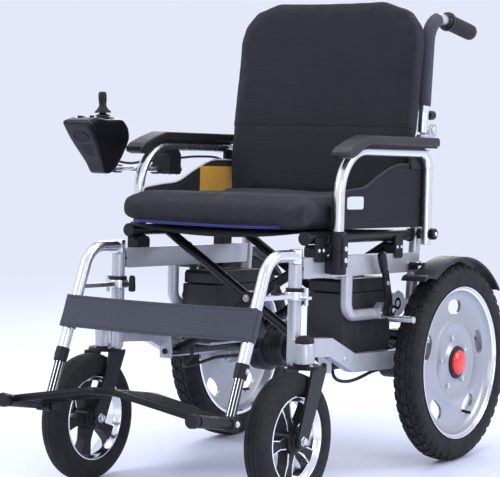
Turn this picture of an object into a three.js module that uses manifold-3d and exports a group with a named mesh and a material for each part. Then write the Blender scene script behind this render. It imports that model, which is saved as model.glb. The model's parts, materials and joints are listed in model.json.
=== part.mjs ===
// Power wheelchair with a folding scissor frame.
// Millimetres, +Z up, the occupant faces -Y, the chair's own left is +X.
// The chair stands on Z = 0 with its origin under the middle of its outer box.
// The frame leans back by RAKE about the rear axle. Frame pieces are written in
// the frame's own coordinates: X across, U to the rear from the rear axle,
// V up, with V equal to the axle height on the axle itself.
import * as THREE from 'three';
import { mergeVertices } from 'three/addons/utils/BufferGeometryUtils.js';
import Module from 'manifold-3d';

const wasm = await Module();
wasm.setup();

// ---- driving dimensions ----------------------------------------------------
const RAKE = THREE.MathUtils.degToRad(3.5);   // frame leans back
const ORIGIN_SHIFT = 314.67;                   // rear axle behind the origin
const AXLE_H = 203;                           // rear axle height
const WHEEL_R = 203, TYRE_W = 54, WHEEL_X = 276, TYRE_IN_R = 157.5;
const CASTER_R = 127, CASTER_W = 48, CASTER_X = 238, CASTER_IN_R = 85;
const SWIVEL_Y = -502, CASTER_AXLE_Y = -561;
const POST_X = 210, POST_U = -502, POST_R = 13;
const RAIL_IN = 200, RAIL_OUT = 220, RAIL_LO = 389.5, RAIL_HI = 429.5;
const BRACE_X = 192, BRACE_V = 214, SEAT_X = 209, SEAT_V = 465;
const ARM_X = 240, ARM_R = 11, ARM_TOP = 635, ARM_FRONT = -400, ARM_REAR = -56;
const ARM_PIVOT = [-54, 468];
const CANE_X = 208, HINGE_U = -2, HINGE_V = 682;
const SEAT_HALF = 215, SEAT_LO = 478, SEAT_HI = 545;
const LEG_TOP = [-594.4, 434], LEG_END = [-680, 216];
const ROD_A = [-712, 136], ROD_B = [-831, 152], ROD_X = 217, ROD_R = 7;
const PLATE_TILT = THREE.MathUtils.degToRad(9.5);
const CTRL_X = -268, CTRL_ROD_X = -262, CTRL_ROD_V = 587;
const BRAKE_PIVOT = [-192, 317];
const GAP = 0.3;                              // clearance at touching faces

// ---- finishes --------------------------------------------------------------
const finish = (color, roughness, metalness) => () => new THREE.MeshStandardMaterial({ color, roughness, metalness });
const SILVER = finish(0xb4b6bb, 0.42, 0.55), BRIGHT = finish(0xd4d6da, 0.24, 0.9);
const BLACK = finish(0x1c1c1f, 0.5, 0.0), SATIN = finish(0x26262a, 0.38, 0.1);
const RUBBER = finish(0x1b1b1c, 0.85, 0.0), RED = finish(0xc92a2a, 0.35, 0.0);
const FABRIC = finish(0x2b2c33, 0.9, 0.0), STRAP = finish(0x4d5060, 0.9, 0.0);
const MOTOR = finish(0x3a3b3f, 0.45, 0.6);

// ---- solids ----------------------------------------------------------------
function solid(geometry) {
  const g = geometry.clone();
  g.deleteAttribute('normal'); g.deleteAttribute('uv');
  const m = mergeVertices(g, 1e-3);
  const idx = [];
  const src = m.index.array;
  for (let i = 0; i < src.length; i += 3) {
    const [a, b, c] = [src[i], src[i + 1], src[i + 2]];
    if (a !== b && b !== c && a !== c) idx.push(a, b, c);
  }
  return new wasm.Manifold(new wasm.Mesh({
    numProp: 3,
    vertProperties: new Float32Array(m.attributes.position.array),
    triVerts: new Uint32Array(idx),
  }));
}
function geometryOf(manifold) {
  const mesh = manifold.getMesh();
  const n = mesh.numProp;
  const pos = new Float32Array((mesh.vertProperties.length / n) * 3);
  for (let i = 0; i < pos.length / 3; i++) {
    for (let k = 0; k < 3; k++) pos[3 * i + k] = mesh.vertProperties[n * i + k];
  }
  const g = new THREE.BufferGeometry();
  g.setAttribute('position', new THREE.BufferAttribute(pos, 3));
  g.setIndex(new THREE.BufferAttribute(new Uint32Array(mesh.triVerts), 1));
  return g;
}
const join = (...g) => geometryOf(g.map(solid).reduce((a, b) => a.add(b)));
const cut = (g, ...tools) => geometryOf(tools.map(solid).reduce((a, b) => a.subtract(b), solid(g)));

function mirror(geometry) {
  const g = geometryOf(solid(geometry));
  const p = g.attributes.position;
  for (let i = 0; i < p.count; i++) p.setX(i, -p.getX(i));
  const ix = g.index.array;
  for (let i = 0; i < ix.length; i += 3) [ix[i + 1], ix[i + 2]] = [ix[i + 2], ix[i + 1]];
  return g;
}

// box between two corners
const box = (x0, y0, z0, x1, y1, z1) =>
  new THREE.BoxGeometry(x1 - x0, y1 - y0, z1 - z0).translate((x0 + x1) / 2, (y0 + y1) / 2, (z0 + z1) / 2);

// round bar between two points
const sidesFor = (r) => (r < 9 ? 8 : r < 14 ? 10 : r < 22 ? 14 : 20);
function bar(a, b, r, sides = sidesFor(r), r2 = r) {
  const A = new THREE.Vector3(...a), B = new THREE.Vector3(...b);
  const d = B.clone().sub(A);
  const g = new THREE.CylinderGeometry(r2, r, d.length(), sides);
  g.applyQuaternion(new THREE.Quaternion().setFromUnitVectors(new THREE.Vector3(0, 1, 0), d.clone().normalize()));
  return g.translate((A.x + B.x) / 2, (A.y + B.y) / 2, (A.z + B.z) / 2);
}

// outline in (second, third) coordinates, extruded along X from x0 to x1
function plate(x0, x1, pts, holes = []) {
  const s = new THREE.Shape(pts.map(([u, v]) => new THREE.Vector2(u, v)));
  for (const [u, v, r, n = 16] of holes) {
    const h = new THREE.Path();
    for (let i = 0; i < n; i++) {
      const a = -2 * Math.PI * i / n;
      (i ? h.lineTo : h.moveTo).call(h, u + r * Math.cos(a), v + r * Math.sin(a));
    }
    h.closePath();
    s.holes.push(h);
  }
  const g = new THREE.ExtrudeGeometry(s, { depth: x1 - x0, bevelEnabled: false, curveSegments: 6 });
  // shape plane XY + depth Z  ->  YZ + depth X
  g.applyMatrix4(new THREE.Matrix4().set(0, 0, 1, x0, 1, 0, 0, 0, 0, 1, 0, 0, 0, 0, 0, 1));
  return g;
}

// profile of (radius, x) points turned about the X axis
function turned(profile, segments = 32) {
  const pts = profile.map(([x, r]) => new THREE.Vector2(r, x));
  let g = new THREE.LatheGeometry(pts, segments);          // about Y
  g.applyMatrix4(new THREE.Matrix4().set(0, 1, 0, 0, 0, 0, 1, 0, 1, 0, 0, 0, 0, 0, 0, 1));
  const s = solid(g);
  if (s.volume() < 0) {
    g = g.index ? g : g.toNonIndexed();
    const ix = g.index.array;
    for (let i = 0; i < ix.length; i += 3) [ix[i + 1], ix[i + 2]] = [ix[i + 2], ix[i + 1]];
  }
  return g;
}
const turnedZ = (profile, segments = 24) => {
  const g = turned(profile, segments);                     // about X, then X -> Z
  return g.applyMatrix4(new THREE.Matrix4().set(0, 1, 0, 0, 0, 0, 1, 0, 1, 0, 0, 0, 0, 0, 0, 1));
};

// a centre line of straight runs and filleted corners
class Route extends THREE.Curve {
  constructor(nodes) {
    super();
    this.nodes = nodes;
    this.tangents = nodes.map((p, i) => {
      const t = new THREE.Vector3();
      if (i > 0) t.add(p.clone().sub(nodes[i - 1]).normalize());
      if (i < nodes.length - 1) t.add(nodes[i + 1].clone().sub(p).normalize());
      return t.normalize();
    });
  }
  at(list, t) {
    const f = t * (list.length - 1), i = Math.min(Math.floor(f + 1e-9), list.length - 1);
    return list[Math.min(i + (f - i > 0.5 ? 1 : 0), list.length - 1)].clone();
  }
  getPoint(t) { return this.at(this.nodes, t); }
  getPointAt(t) { return this.at(this.nodes, t); }
  getTangent(t) { return this.at(this.tangents, t); }
  getTangentAt(t) { return this.at(this.tangents, t); }
}
// corners [[x,y,z,fillet], ...]
function routeNodes(corners, arcSteps = 5) {
  const P = corners.map((c) => new THREE.Vector3(c[0], c[1], c[2]));
  const out = [P[0]];
  for (let i = 1; i < P.length - 1; i++) {
    const R = corners[i][3] ?? 0;
    const a = P[i - 1].clone().sub(P[i]).normalize(), b = P[i + 1].clone().sub(P[i]).normalize();
    const half = Math.acos(THREE.MathUtils.clamp(a.dot(b), -1, 1)) / 2;
    if (!R || half > 1.55) { out.push(P[i]); continue; }
    const t = R / Math.tan(half);
    const centre = P[i].clone().add(a.clone().add(b).normalize().multiplyScalar(R / Math.sin(half)));
    const s = P[i].clone().add(a.clone().multiplyScalar(t)).sub(centre);
    const e = P[i].clone().add(b.clone().multiplyScalar(t)).sub(centre);
    const sweep = s.angleTo(e), axis = s.clone().cross(e).normalize();
    for (let k = 0; k <= arcSteps; k++) out.push(s.clone().applyAxisAngle(axis, sweep * k / arcSteps).add(centre));
  }
  out.push(P[P.length - 1]);
  return out;
}
function tube(corners, r, sides = 12, arcSteps = 5) {
  const nodes = routeNodes(corners, arcSteps);
  const shape = new THREE.Shape();
  for (let i = 0; i < sides; i++) {
    const a = 2 * Math.PI * (i + 0.5) / sides, k = r;
    (i ? shape.lineTo : shape.moveTo).call(shape, k * Math.cos(a), k * Math.sin(a));
  }
  shape.closePath();
  return new THREE.ExtrudeGeometry(shape, { steps: nodes.length - 1, extrudePath: new Route(nodes) });
}

// ---- frame coordinates <-> upright coordinates ------------------------------
const FRAME = new THREE.Matrix4().makeTranslation(0, 0, AXLE_H)
  .multiply(new THREE.Matrix4().makeRotationX(-RAKE))
  .multiply(new THREE.Matrix4().makeTranslation(0, 0, -AXLE_H));
const UPRIGHT = FRAME.clone().invert();
const upright = (g) => g.clone().applyMatrix4(UPRIGHT);   // written upright, placed in the frame
const toFrame = (p) => new THREE.Vector3(...p).applyMatrix4(UPRIGHT).toArray();

// ---- scene graph -----------------------------------------------------------
const chair = new THREE.Group();
const base = new THREE.Group();               // upright pieces, Y = 0 on the rear axle
base.position.set(0, ORIGIN_SHIFT, 0);
chair.add(base);
const lean = new THREE.Group();               // turns about the rear axle
lean.position.set(0, 0, AXLE_H);
lean.rotation.x = -RAKE;
base.add(lean);
const frame = new THREE.Group();
frame.position.set(0, 0, -AXLE_H);
lean.add(frame);

function add(parent, name, geometry, material, at = [0, 0, 0]) {
  const g = geometry.clone().translate(-at[0], -at[1], -at[2]);
  const mesh = new THREE.Mesh(g, material());
  mesh.name = name;
  mesh.position.set(...at);
  parent.add(mesh);
  return mesh;
}
// the same piece on both sides, written for the left
function pair(parent, name, geometry, material, at = [0, 0, 0]) {
  add(parent, `${name}_left`, geometry, material, at);
  add(parent, `${name}_right`, mirror(geometry), material, [-at[0], at[1], at[2]]);
}

// ---- side frames -----------------------------------------------------------
// a clear hole: its flats stand at radius r
function bore(a, b, r) {
  const n = sidesFor(r) + 2;
  return bar(a, b, r / Math.cos(Math.PI / n), n);
}

const frontFrame = cut(
  join(
    bar([POST_X, POST_U, 232], [POST_X, POST_U, 418], POST_R),
    plate(205, 225, [[-489, 240], [-470, 240], [-394, 236], [-304, 199], [-50, 195], [-50, 231], [-296, 235], [-386, 272], [-470, 276], [-500, 276], [-500, 240]]),
    upright(bar([CASTER_X, SWIVEL_Y, 262], [CASTER_X, SWIVEL_Y, 316], 19)),
    upright(box(214, -512, 268, 232, -490, 310)),
    plate(205, 225, [[-75, 176], [-55, 168], [15, 168], [35, 188], [35, 232], [25, 240], [-75, 240]]),
    box(130, -290, 226, 206, -130, 232.5),
    plate(178, 206, [[-362.5, 200], [-356.5, 200], [-356.5, 246], [-362.5, 246]]),
    plate(178, 206, [[-69.5, 200], [-63.5, 200], [-63.5, 228], [-69.5, 228]]),
  ),
  bore([POST_X, POST_U, 360], [POST_X, POST_U, 430], 8.3),
  upright(bore([CASTER_X, SWIVEL_Y, 250], [CASTER_X, SWIVEL_Y, 304], 8.5)),
  bore([170, 0, AXLE_H], [240, 0, AXLE_H], 8.9),
  bore([BRACE_X, -380, BRACE_V], [BRACE_X, -350, BRACE_V], 6.4),
  bore([BRACE_X, -80, BRACE_V], [BRACE_X, -55, BRACE_V], 6.4),
);
pair(frame, 'front_frame', frontFrame, SILVER);

const rearFrame = cut(
  join(
    plate(RAIL_IN, RAIL_OUT, [[-488.4, RAIL_LO], [-48, RAIL_LO], [-48, RAIL_HI], [-488.4, RAIL_HI]]),
    bar([CANE_X, -61.9, 241.6], [CANE_X, -27, 671], 12),
    tube([[POST_X, -315, 395], [POST_X, -315, 310, 28], [POST_X, -146, 310]], 11.5, 8, 3),
    plate(205, 215, [[-150, 300], [-136, 301], [-120, 298], [-100, 306], [-92, 316], [-60, 316], [-60, 334], [-92, 335], [-100, 346], [-120, 354], [-140, 346], [-148, 330], [-150, 320]]),
    plate(RAIL_IN - 2, RAIL_OUT + 1.5, [[-455, 429], [-415, 429], [-415, 452], [-455, 452]]),
    plate(221.3, 224.6, [[-455, 420], [-415, 420], [-415, 466], [-455, 466]]),
    plate(219, 222, [[-455, 420], [-415, 420], [-415, 440], [-455, 440]]),
    plate(RAIL_IN - 2, RAIL_OUT + 1.5, [[-152, 429], [-122, 429], [-122, 452], [-152, 452]]),
    plate(221.3, 224.6, [[-152, 420], [-122, 420], [-122, 466], [-152, 466]]),
    plate(219, 222, [[-152, 420], [-122, 420], [-122, 440], [-152, 440]]),
    plate(213, 227.5, [[-215, 300], [-175, 300], [-175, 326], [-183, 332], [-203, 332], [-215, 322]]),
    bar([226, ...BRAKE_PIVOT], [247, ...BRAKE_PIVOT], 4),
    bar([205, ...ARM_PIVOT], [227.5, ...ARM_PIVOT], 11),
    plate(195.5, 199.7, [[-38, 636], [-20, 636], [12, 671], [12, 694], [-10, 694], [-14, 672], [-38, 668]]),
    plate(216.3, 220.5, [[-38, 636], [-20, 636], [12, 671], [12, 694], [-10, 694], [-14, 672], [-38, 668]]),
  ),
  bore([200, -120, 326], [220, -120, 326], 14),
  bore([200, ...ARM_PIVOT], [232, ...ARM_PIVOT], 5.3),
  bore([190, HINGE_U, HINGE_V], [225, HINGE_U, HINGE_V], 4.4),
);
pair(frame, 'rear_frame', rearFrame, SILVER);

// ---- drive -----------------------------------------------------------------
const motor = join(
  bar([165, 0, AXLE_H], [204.6, 0, AXLE_H], 52),
  bar([120, 0, AXLE_H], [166, 0, AXLE_H], 43),
  bar([110, 0, AXLE_H], [121, 0, AXLE_H], 30),
  bar([204, 0, AXLE_H], [287, 0, AXLE_H], 8.5),
);
pair(frame, 'drive_motor', motor, MOTOR, [165, 0, AXLE_H]);

const tyre = turned([
  [WHEEL_X - 27, 181], [WHEEL_X - 22, 195], [WHEEL_X - 10, WHEEL_R], [WHEEL_X + 10, WHEEL_R],
  [WHEEL_X + 22, 195], [WHEEL_X + 27, 181], [WHEEL_X + 24, TYRE_IN_R], [WHEEL_X - 24, TYRE_IN_R], [WHEEL_X - 27, 181],
], 28).translate(0, 0, AXLE_H);
pair(base, 'rear_tyre', tyre, RUBBER, [WHEEL_X, 0, AXLE_H]);

function ovalHole(angle, radius, a, b, x0, x1) {
  const n = 8, pts = [];
  const er = [Math.cos(angle), Math.sin(angle)], et = [-Math.sin(angle), Math.cos(angle)];
  for (let i = 0; i < n; i++) {
    const t = 2 * Math.PI * i / n, c = a * Math.cos(t), s = b * Math.sin(t);
    pts.push([er[0] * (radius + s) + et[0] * c, AXLE_H + er[1] * (radius + s) + et[1] * c]);
  }
  return plate(x0, x1, THREE.ShapeUtils.area(pts.map((p) => new THREE.Vector2(...p))) > 0 ? pts : pts.reverse());
}
const rim = cut(
  turned([
    [290, 8.9], [290, 35], [281, 38], [281, 146], [300, 150], [300, 157.2],
    [252, 157.2], [252, 150], [275, 146], [275, 38], [262, 35], [262, 8.9], [290, 8.9],
  ], 28).translate(0, 0, AXLE_H),
  ...[90, 162, 234, 306, 18].map((d) => ovalHole(THREE.MathUtils.degToRad(d), 115, 27, 15.5, 265, 290)),
);
pair(base, 'rear_rim', rim, SILVER, [WHEEL_X, 0, AXLE_H]);
pair(base, 'hub_cap', turned([[290.3, 0], [290.3, 28], [292.5, 28], [292.5, 31], [299.5, 30.5], [303, 26], [303, 0]], 16)
  .translate(0, 0, AXLE_H), RED, [292, 0, AXLE_H]);

const arc = (r, a0, a1, n) => Array.from({ length: n + 1 }, (_, i) => {
  const a = THREE.MathUtils.degToRad(a0 + (a1 - a0) * i / n);
  return [r * Math.cos(a), AXLE_H + r * Math.sin(a)];
});
const fender = join(
  plate(248, 303, [...arc(219, 42, 124, 14), [-150, 389], [-167, 381], [-168, 376], [-150, 383], ...arc(214, 124, 42, 14)]),
  plate(248, 251, [...arc(214.5, 60, 122, 8), ...arc(206.5, 122, 60, 8)]),
  box(RAIL_OUT + 0.4, -92, 403.5, 250, -58, 409.5),
  box(RAIL_OUT + 0.4, -92, 394, 223.5, -58, 409.5),
);
pair(frame, 'fender', fender, SATIN);

// ---- casters ---------------------------------------------------------------
const forkLeg = [[-476, 254.5], [-478, 247], [-547, 117], [-554, 112.5], [-561, 111], [-568, 112.5], [-574, 117.5], [-576.5, 127], [-574, 137], [-527, 250], [-527, 254.5]];
const fork = join(
  bar([CASTER_X, SWIVEL_Y, 258], [CASTER_X, SWIVEL_Y, 300], 8),
  box(205, -527, 253.5, 271, -476, 260.8),
  plate(205, 211, forkLeg), plate(265, 271, forkLeg),
  bar([202, CASTER_AXLE_Y, CASTER_R], [274, CASTER_AXLE_Y, CASTER_R], 5),
);
pair(base, 'caster_fork', fork, BLACK, [CASTER_X, SWIVEL_Y, 258]);
const casterTyre = turned([
  [CASTER_X - 23, 108], [CASTER_X - 18, 121], [CASTER_X - 6, CASTER_R], [CASTER_X + 6, CASTER_R], [CASTER_X + 18, 121], [CASTER_X + 23, 108],
  [CASTER_X + 21, CASTER_IN_R], [CASTER_X - 21, CASTER_IN_R], [CASTER_X - 23, 108],
], 24).translate(0, CASTER_AXLE_Y, CASTER_R);
pair(base, 'caster_tyre', casterTyre, RUBBER, [CASTER_X, CASTER_AXLE_Y, CASTER_R]);
const spokes = [0, 1, 2, 3, 4].map((i) => {
  const g = new THREE.BoxGeometry(12, 62, 17).translate(CASTER_X, 47, 0);
  return g.rotateX(THREE.MathUtils.degToRad(90 + 72 * i));
});
const casterRim = cut(
  join(
    turned([[CASTER_X - 20, 78], [CASTER_X - 20, 84.6], [CASTER_X + 20, 84.6], [CASTER_X + 20, 78], [CASTER_X + 7, 73], [CASTER_X - 7, 73], [CASTER_X - 20, 78]], 24),
    turned([[CASTER_X - 24, 5], [CASTER_X - 24, 17], [CASTER_X - 12, 24], [CASTER_X + 12, 24], [CASTER_X + 24, 17], [CASTER_X + 24, 5], [CASTER_X - 24, 5]], 12),
    ...spokes,
  ),
  bar([CASTER_X - 40, 0, 0], [CASTER_X + 40, 0, 0], 5.5),
).translate(0, CASTER_AXLE_Y, CASTER_R);
pair(base, 'caster_rim', casterRim, SATIN, [CASTER_X, CASTER_AXLE_Y, CASTER_R]);

// ---- battery boxes ---------------------------------------------------------
const batteryOutline = [[-300, 237], [-296, 233.2], [-122, 233.2], [-118, 237], [-118, 352], [-120, 354], [-120, 374], [-126, 380], [-292, 380], [-298, 374], [-298, 354], [-300, 352]];
pair(frame, 'battery_box', plate(110, 196, batteryOutline), BLACK, [153, -209, 306]);

// ---- folding cross braces --------------------------------------------------
function brace(side, u1, u2, female) {
  const x = side * BRACE_X, sx = -side * SEAT_X;
  const pieces = [
    bar([x, -356, BRACE_V], [x, -70, BRACE_V], 10),
    bar([x, -366, BRACE_V], [x, -60, BRACE_V], 6),
    bar([x, u1, BRACE_V], [sx, u1, SEAT_V], 10),
    bar([x, u2, BRACE_V], [sx, u2, SEAT_V], 10),
    bar([sx, -470, SEAT_V], [sx, -72, SEAT_V], 11),
    bar([sx, -474, SEAT_V], [sx, -468, SEAT_V], 13.5),
    bar([sx, -75, SEAT_V], [sx, -70, SEAT_V], 13.5),
  ];
  const cx = 0, cv = BRACE_V + (SEAT_V - BRACE_V) * BRACE_X / (BRACE_X + SEAT_X);
  const tools = [];
  for (const u of [u1, u2]) {
    pieces.push(bar([cx, u - 9, cv], [cx, u + 9, cv], 15));
    if (female) tools.push(bore([cx, u - 20, cv], [cx, u + 20, cv], 5.4));
    else pieces.push(bar([cx, u, cv], [cx, u === u1 ? u + 36 : u - 36, cv], 5));
  }
  const g = join(...pieces);
  return tools.length ? cut(g, ...tools) : g;
}
add(frame, 'cross_brace_left', brace(1, -345, -81, false), BLACK, [BRACE_X, -213, BRACE_V]);
add(frame, 'cross_brace_right', brace(-1, -322, -104, true), BLACK, [-BRACE_X, -213, BRACE_V]);

// ---- armrests --------------------------------------------------------------
const armCorners = [[ARM_X, ARM_FRONT, 452], [ARM_X, ARM_FRONT, ARM_TOP, 90], [ARM_X, ARM_REAR, ARM_TOP, 38], [ARM_X, ARM_REAR, 446]];
const armTube = join(
  tube(armCorners, ARM_R, 10, 5),
  bar([207, ...ARM_PIVOT], [242, ...ARM_PIVOT], 5),
  bar([248, ...ARM_PIVOT], [262, ...ARM_PIVOT], 12),
);
add(frame, 'armrest_tube_left', armTube, BRIGHT, [ARM_X, ...ARM_PIVOT]);
const clampBlock = cut(
  box(229.8, -310, 577, 275, -270, 629),
  bore([-CTRL_ROD_X, -320, CTRL_ROD_V], [-CTRL_ROD_X, -260, CTRL_ROD_V], 6.4),
  bore([265, -290, CTRL_ROD_V], [285, -290, CTRL_ROD_V], 3.3),
);
add(frame, 'armrest_tube_right', mirror(join(armTube, clampBlock)), BRIGHT, [-ARM_X, ...ARM_PIVOT]);

const padOutline = [[-55, 646.8], [-330, 646.8], [-350, 640.3], [-370, 629.3], [-396, 618], [-412, 622], [-413, 632], [-400, 641], [-368, 653], [-325, 665], [-60, 665], [-55, 660]];
const padBody = cut(plate(226.2, 268, padOutline),
  tube([[ARM_X, ARM_FRONT, 500], [ARM_X, ARM_FRONT, ARM_TOP, 90], [ARM_X, ARM_REAR, ARM_TOP]], ARM_R + 0.8, 10, 5));
pair(frame, 'armrest_pad', padBody, BLACK, [245, -230, 655]);
pair(frame, 'skirt_guard', plate(225, 228.5, [[-405, 482], [-50, 482], [-50, 600], [-67, 607.6], [-140, 609], [-177, 604], [-231, 585], [-285, 563], [-340, 557], [-396, 550], [-405, 540]]),
  BLACK, [226.75, -228, 545]);
const socket = cut(
  join(
    bar([ARM_X, ARM_FRONT, 396], [ARM_X, ARM_FRONT, 479], 17),
    box(RAIL_OUT + 0.4, -415, 397, 240, -385, 428.5),
    box(251, -408, 410, 257.5, -392, 470),
  ),
  bore([ARM_X, ARM_FRONT, 448.5], [ARM_X, ARM_FRONT, 490], 12.6),
);
pair(frame, 'armrest_socket', socket, SATIN, [ARM_X, ARM_FRONT, 437]);

// ---- swing-away hangers and footplates --------------------------------------
const legDir = new THREE.Vector2(LEG_END[0] - LEG_TOP[0], LEG_END[1] - LEG_TOP[1]).normalize();
const onLeg = (d) => [LEG_END[0] + legDir.x * d, LEG_END[1] + legDir.y * d];
const hanger = cut(
  join(
    bar([POST_X, POST_U, 418.4], [POST_X, POST_U, 444], POST_R),
    bar([POST_X, POST_U, 368], [POST_X, POST_U, 420], 8),
    tube([[POST_X, POST_U, 433.5], [POST_X, ...LEG_TOP, 55], [POST_X, ...LEG_END]], 11.5, 10, 4),
    bar([POST_X, POST_U, 350], [POST_X, POST_U, 366], 20),
    box(202, -622, 353.5, 218, -516, 361.5),
    box(222, -512, 352, 242, -492, 358),
    bar([236, POST_U, 340], [236, POST_U, 372], 4),
    box(170, -512, 354, 194, -500, 362), bar([172, -506, 344], [172, -506, 376], 7),
  ),
  bore([POST_X, POST_U, 345], [POST_X, POST_U, 367], 13.4),
  bore([POST_X, ...onLeg(-110)], [POST_X, ...onLeg(12)], 10.4),
);
pair(frame, 'hanger', hanger, BRIGHT, [POST_X, POST_U, 400]);

const footTube = cut(
  join(
    bar([POST_X, ...onLeg(-62)], [POST_X, ...onLeg(84)], 9.9),
    box(198, -726, 122, 230, -698, 150),
    bar([ROD_X, ...ROD_A], [ROD_X, ...ROD_B], ROD_R),
    bar([ROD_X, ROD_B[0] + 2, ROD_B[1] - 0.3], [ROD_X, ROD_B[0] - 12, ROD_B[1] + 1.6], 13.5, 18),
  ),
  bore([180, -712, 136], [196, -712, 136], 3),
);
pair(frame, 'foot_tube', footTube, SATIN, [POST_X, ...LEG_END]);

// footplate, written about its rod: local x across, y to the rear along the rod, z up
const rodAngle = Math.atan2(ROD_B[1] - ROD_A[1], ROD_A[0] - ROD_B[0]);
const rodLength = Math.hypot(ROD_B[0] - ROD_A[0], ROD_B[1] - ROD_A[1]);
const outline = (pts, z0, z1) => new THREE.ExtrudeGeometry(new THREE.Shape(pts.map(([x, y]) => new THREE.Vector2(x, y))), { depth: z1 - z0, bevelEnabled: false }).translate(0, 0, z0);
const leaf = (() => {
  const pieces = [
    outline([[-8, -104], [-8, -18], [-60, -10], [-100, 12], [-190, 20], [-197, 12], [-197, -102], [-188, -110], [-20, -110]], 3, 9),
    ...[-100, -76, -52, -28].map((y) => outline([[-190, y - 2], [-10, y - 2], [-10, y + 2], [-190, y + 2]], -4, 4)),
    outline([[-196, -104], [-190, -104], [-190, 14], [-196, 14]], -4, 4),
    bar([0, -110, 0], [0, -17, 0], 12),
  ];
  return cut(join(...pieces), bore([0, -130, 0], [0, 10, 0], ROD_R + 0.6));
})();
function placeLeaf(side) {
  const turn = new THREE.Group();
  turn.position.set(side * ROD_X, ...ROD_A);
  turn.rotation.x = -rodAngle;
  frame.add(turn);
  const g = (side > 0 ? leaf : mirror(leaf)).clone().rotateY(side * PLATE_TILT);
  add(turn, side > 0 ? 'footplate_left' : 'footplate_right', g, SATIN);
}
placeLeaf(1); placeLeaf(-1);

// ---- folding back ----------------------------------------------------------
const caneEnd = [167, 895.5], gripFrom = [66, 911.7], gripTo = [172, 894.7];
const cane = cut(
  join(
    tube([[CANE_X, -26.4, 675.5], [CANE_X, -9, 923.6, 55], [CANE_X, ...caneEnd]], 11, 10, 5),
    bar([200.2, HINGE_U, HINGE_V], [215.8, HINGE_U, HINGE_V], 11),
    box(203, -26, 676, 213, -2, 692),
    bar([192, HINGE_U, HINGE_V], [222, HINGE_U, HINGE_V], 4),
    bar([189, HINGE_U, HINGE_V], [194.5, HINGE_U, HINGE_V], 8),
    bar([220.9, HINGE_U, HINGE_V], [224.7, HINGE_U, HINGE_V], 8),
  ),
  bore([CANE_X, -26, 712.6], [CANE_X, -5, 712.6], 3.4),
);
pair(frame, 'back_cane', cane, BRIGHT, [CANE_X, HINGE_U, HINGE_V]);
const grip = cut(
  bar([CANE_X, ...gripFrom], [CANE_X, ...gripTo], 17.5),
  bar([CANE_X, gripFrom[0] - 20, gripFrom[1] + 3.2], [CANE_X, caneEnd[0] + 0.6, caneEnd[1] - 0.1], 11.4, 16),
);
pair(frame, 'push_grip', grip, BLACK, [CANE_X, ...gripFrom]);
pair(frame, 'back_latch', join(
  bar([CANE_X, -22, 712.6], [CANE_X, -4, 712.6], 3),
  bar([CANE_X, -6, 712.6], [CANE_X, 18, 712.6], 10),
), BLACK, [CANE_X, 0, 712.6]);

// ---- wheel locks -----------------------------------------------------------
const shoeAt = [BRAKE_PIVOT[0] + 16 * Math.cos(THREE.MathUtils.degToRad(260.6)), BRAKE_PIVOT[1] + 16 * Math.sin(THREE.MathUtils.degToRad(260.6))];
const lever = cut(
  join(
    bar([228, ...BRAKE_PIVOT], [246, ...BRAKE_PIVOT], 12),
    plate(234, 240, [[-202, 312], [-183, 312], [-212, 400], [-221, 400]]),
    bar([237, -214, 390], [237, -229, 432], 9.5),
    bar([240, ...shoeAt], [296, ...shoeAt], 7),
    bar([236, ...shoeAt], [246, ...shoeAt], 8),
  ),
  bore([220, ...BRAKE_PIVOT], [250, ...BRAKE_PIVOT], 4.4),
);
pair(frame, 'brake_lever', lever, SATIN, [237, ...BRAKE_PIVOT]);

// ---- joystick controller ---------------------------------------------------
const bodyOutline = [[-550, 711], [-547, 716], [-515, 722], [-485, 716.5], [-432, 715], [-414, 696], [-410, 673], [-425, 637], [-444, 611], [-462, 604.5], [-479, 606], [-490, 628], [-506, 650], [-531, 684]];
const wide = (x0, x1, pts) => plate(x0, x1, pts);
const rodStart = toFrame([0, -452, 612.8]);
const bodyShell = cut(
  join(
    upright(wide(-303, -233, bodyOutline)),
    bar([CTRL_ROD_X, -462, CTRL_ROD_V], [CTRL_ROD_X, -424, CTRL_ROD_V], 10.5),
  ),
  bore([CTRL_ROD_X, -455, CTRL_ROD_V], [CTRL_ROD_X, -415, CTRL_ROD_V], 6.3),
  upright(bore([-265, -462, 699], [-265, -462, 730], 15)),
  upright(bore([-255, -510, 710.5], [-255, -510, 735], 5.3)),
  upright(box(-287, -518.6, 712.2, -276.6, -501.4, 735)),
);
add(frame, 'controller_body', bodyShell, BLACK, [CTRL_X, -455, 640]);
add(frame, 'controller_rod', join(
  bar([CTRL_ROD_X, -454, CTRL_ROD_V], [CTRL_ROD_X, -235, CTRL_ROD_V], 6),
  bar([CTRL_ROD_X, -238, CTRL_ROD_V], [CTRL_ROD_X, -231, CTRL_ROD_V], 7.5),
), BRIGHT, [CTRL_ROD_X, -290, CTRL_ROD_V]);
add(frame, 'clamp_knob', join(
  bar([-268.4, -290, CTRL_ROD_V], [-276, -290, CTRL_ROD_V], 3),
  bar([-275.4, -290, CTRL_ROD_V], [-289, -290, CTRL_ROD_V], 11),
), BLACK, [-282, -290, CTRL_ROD_V]);
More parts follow.
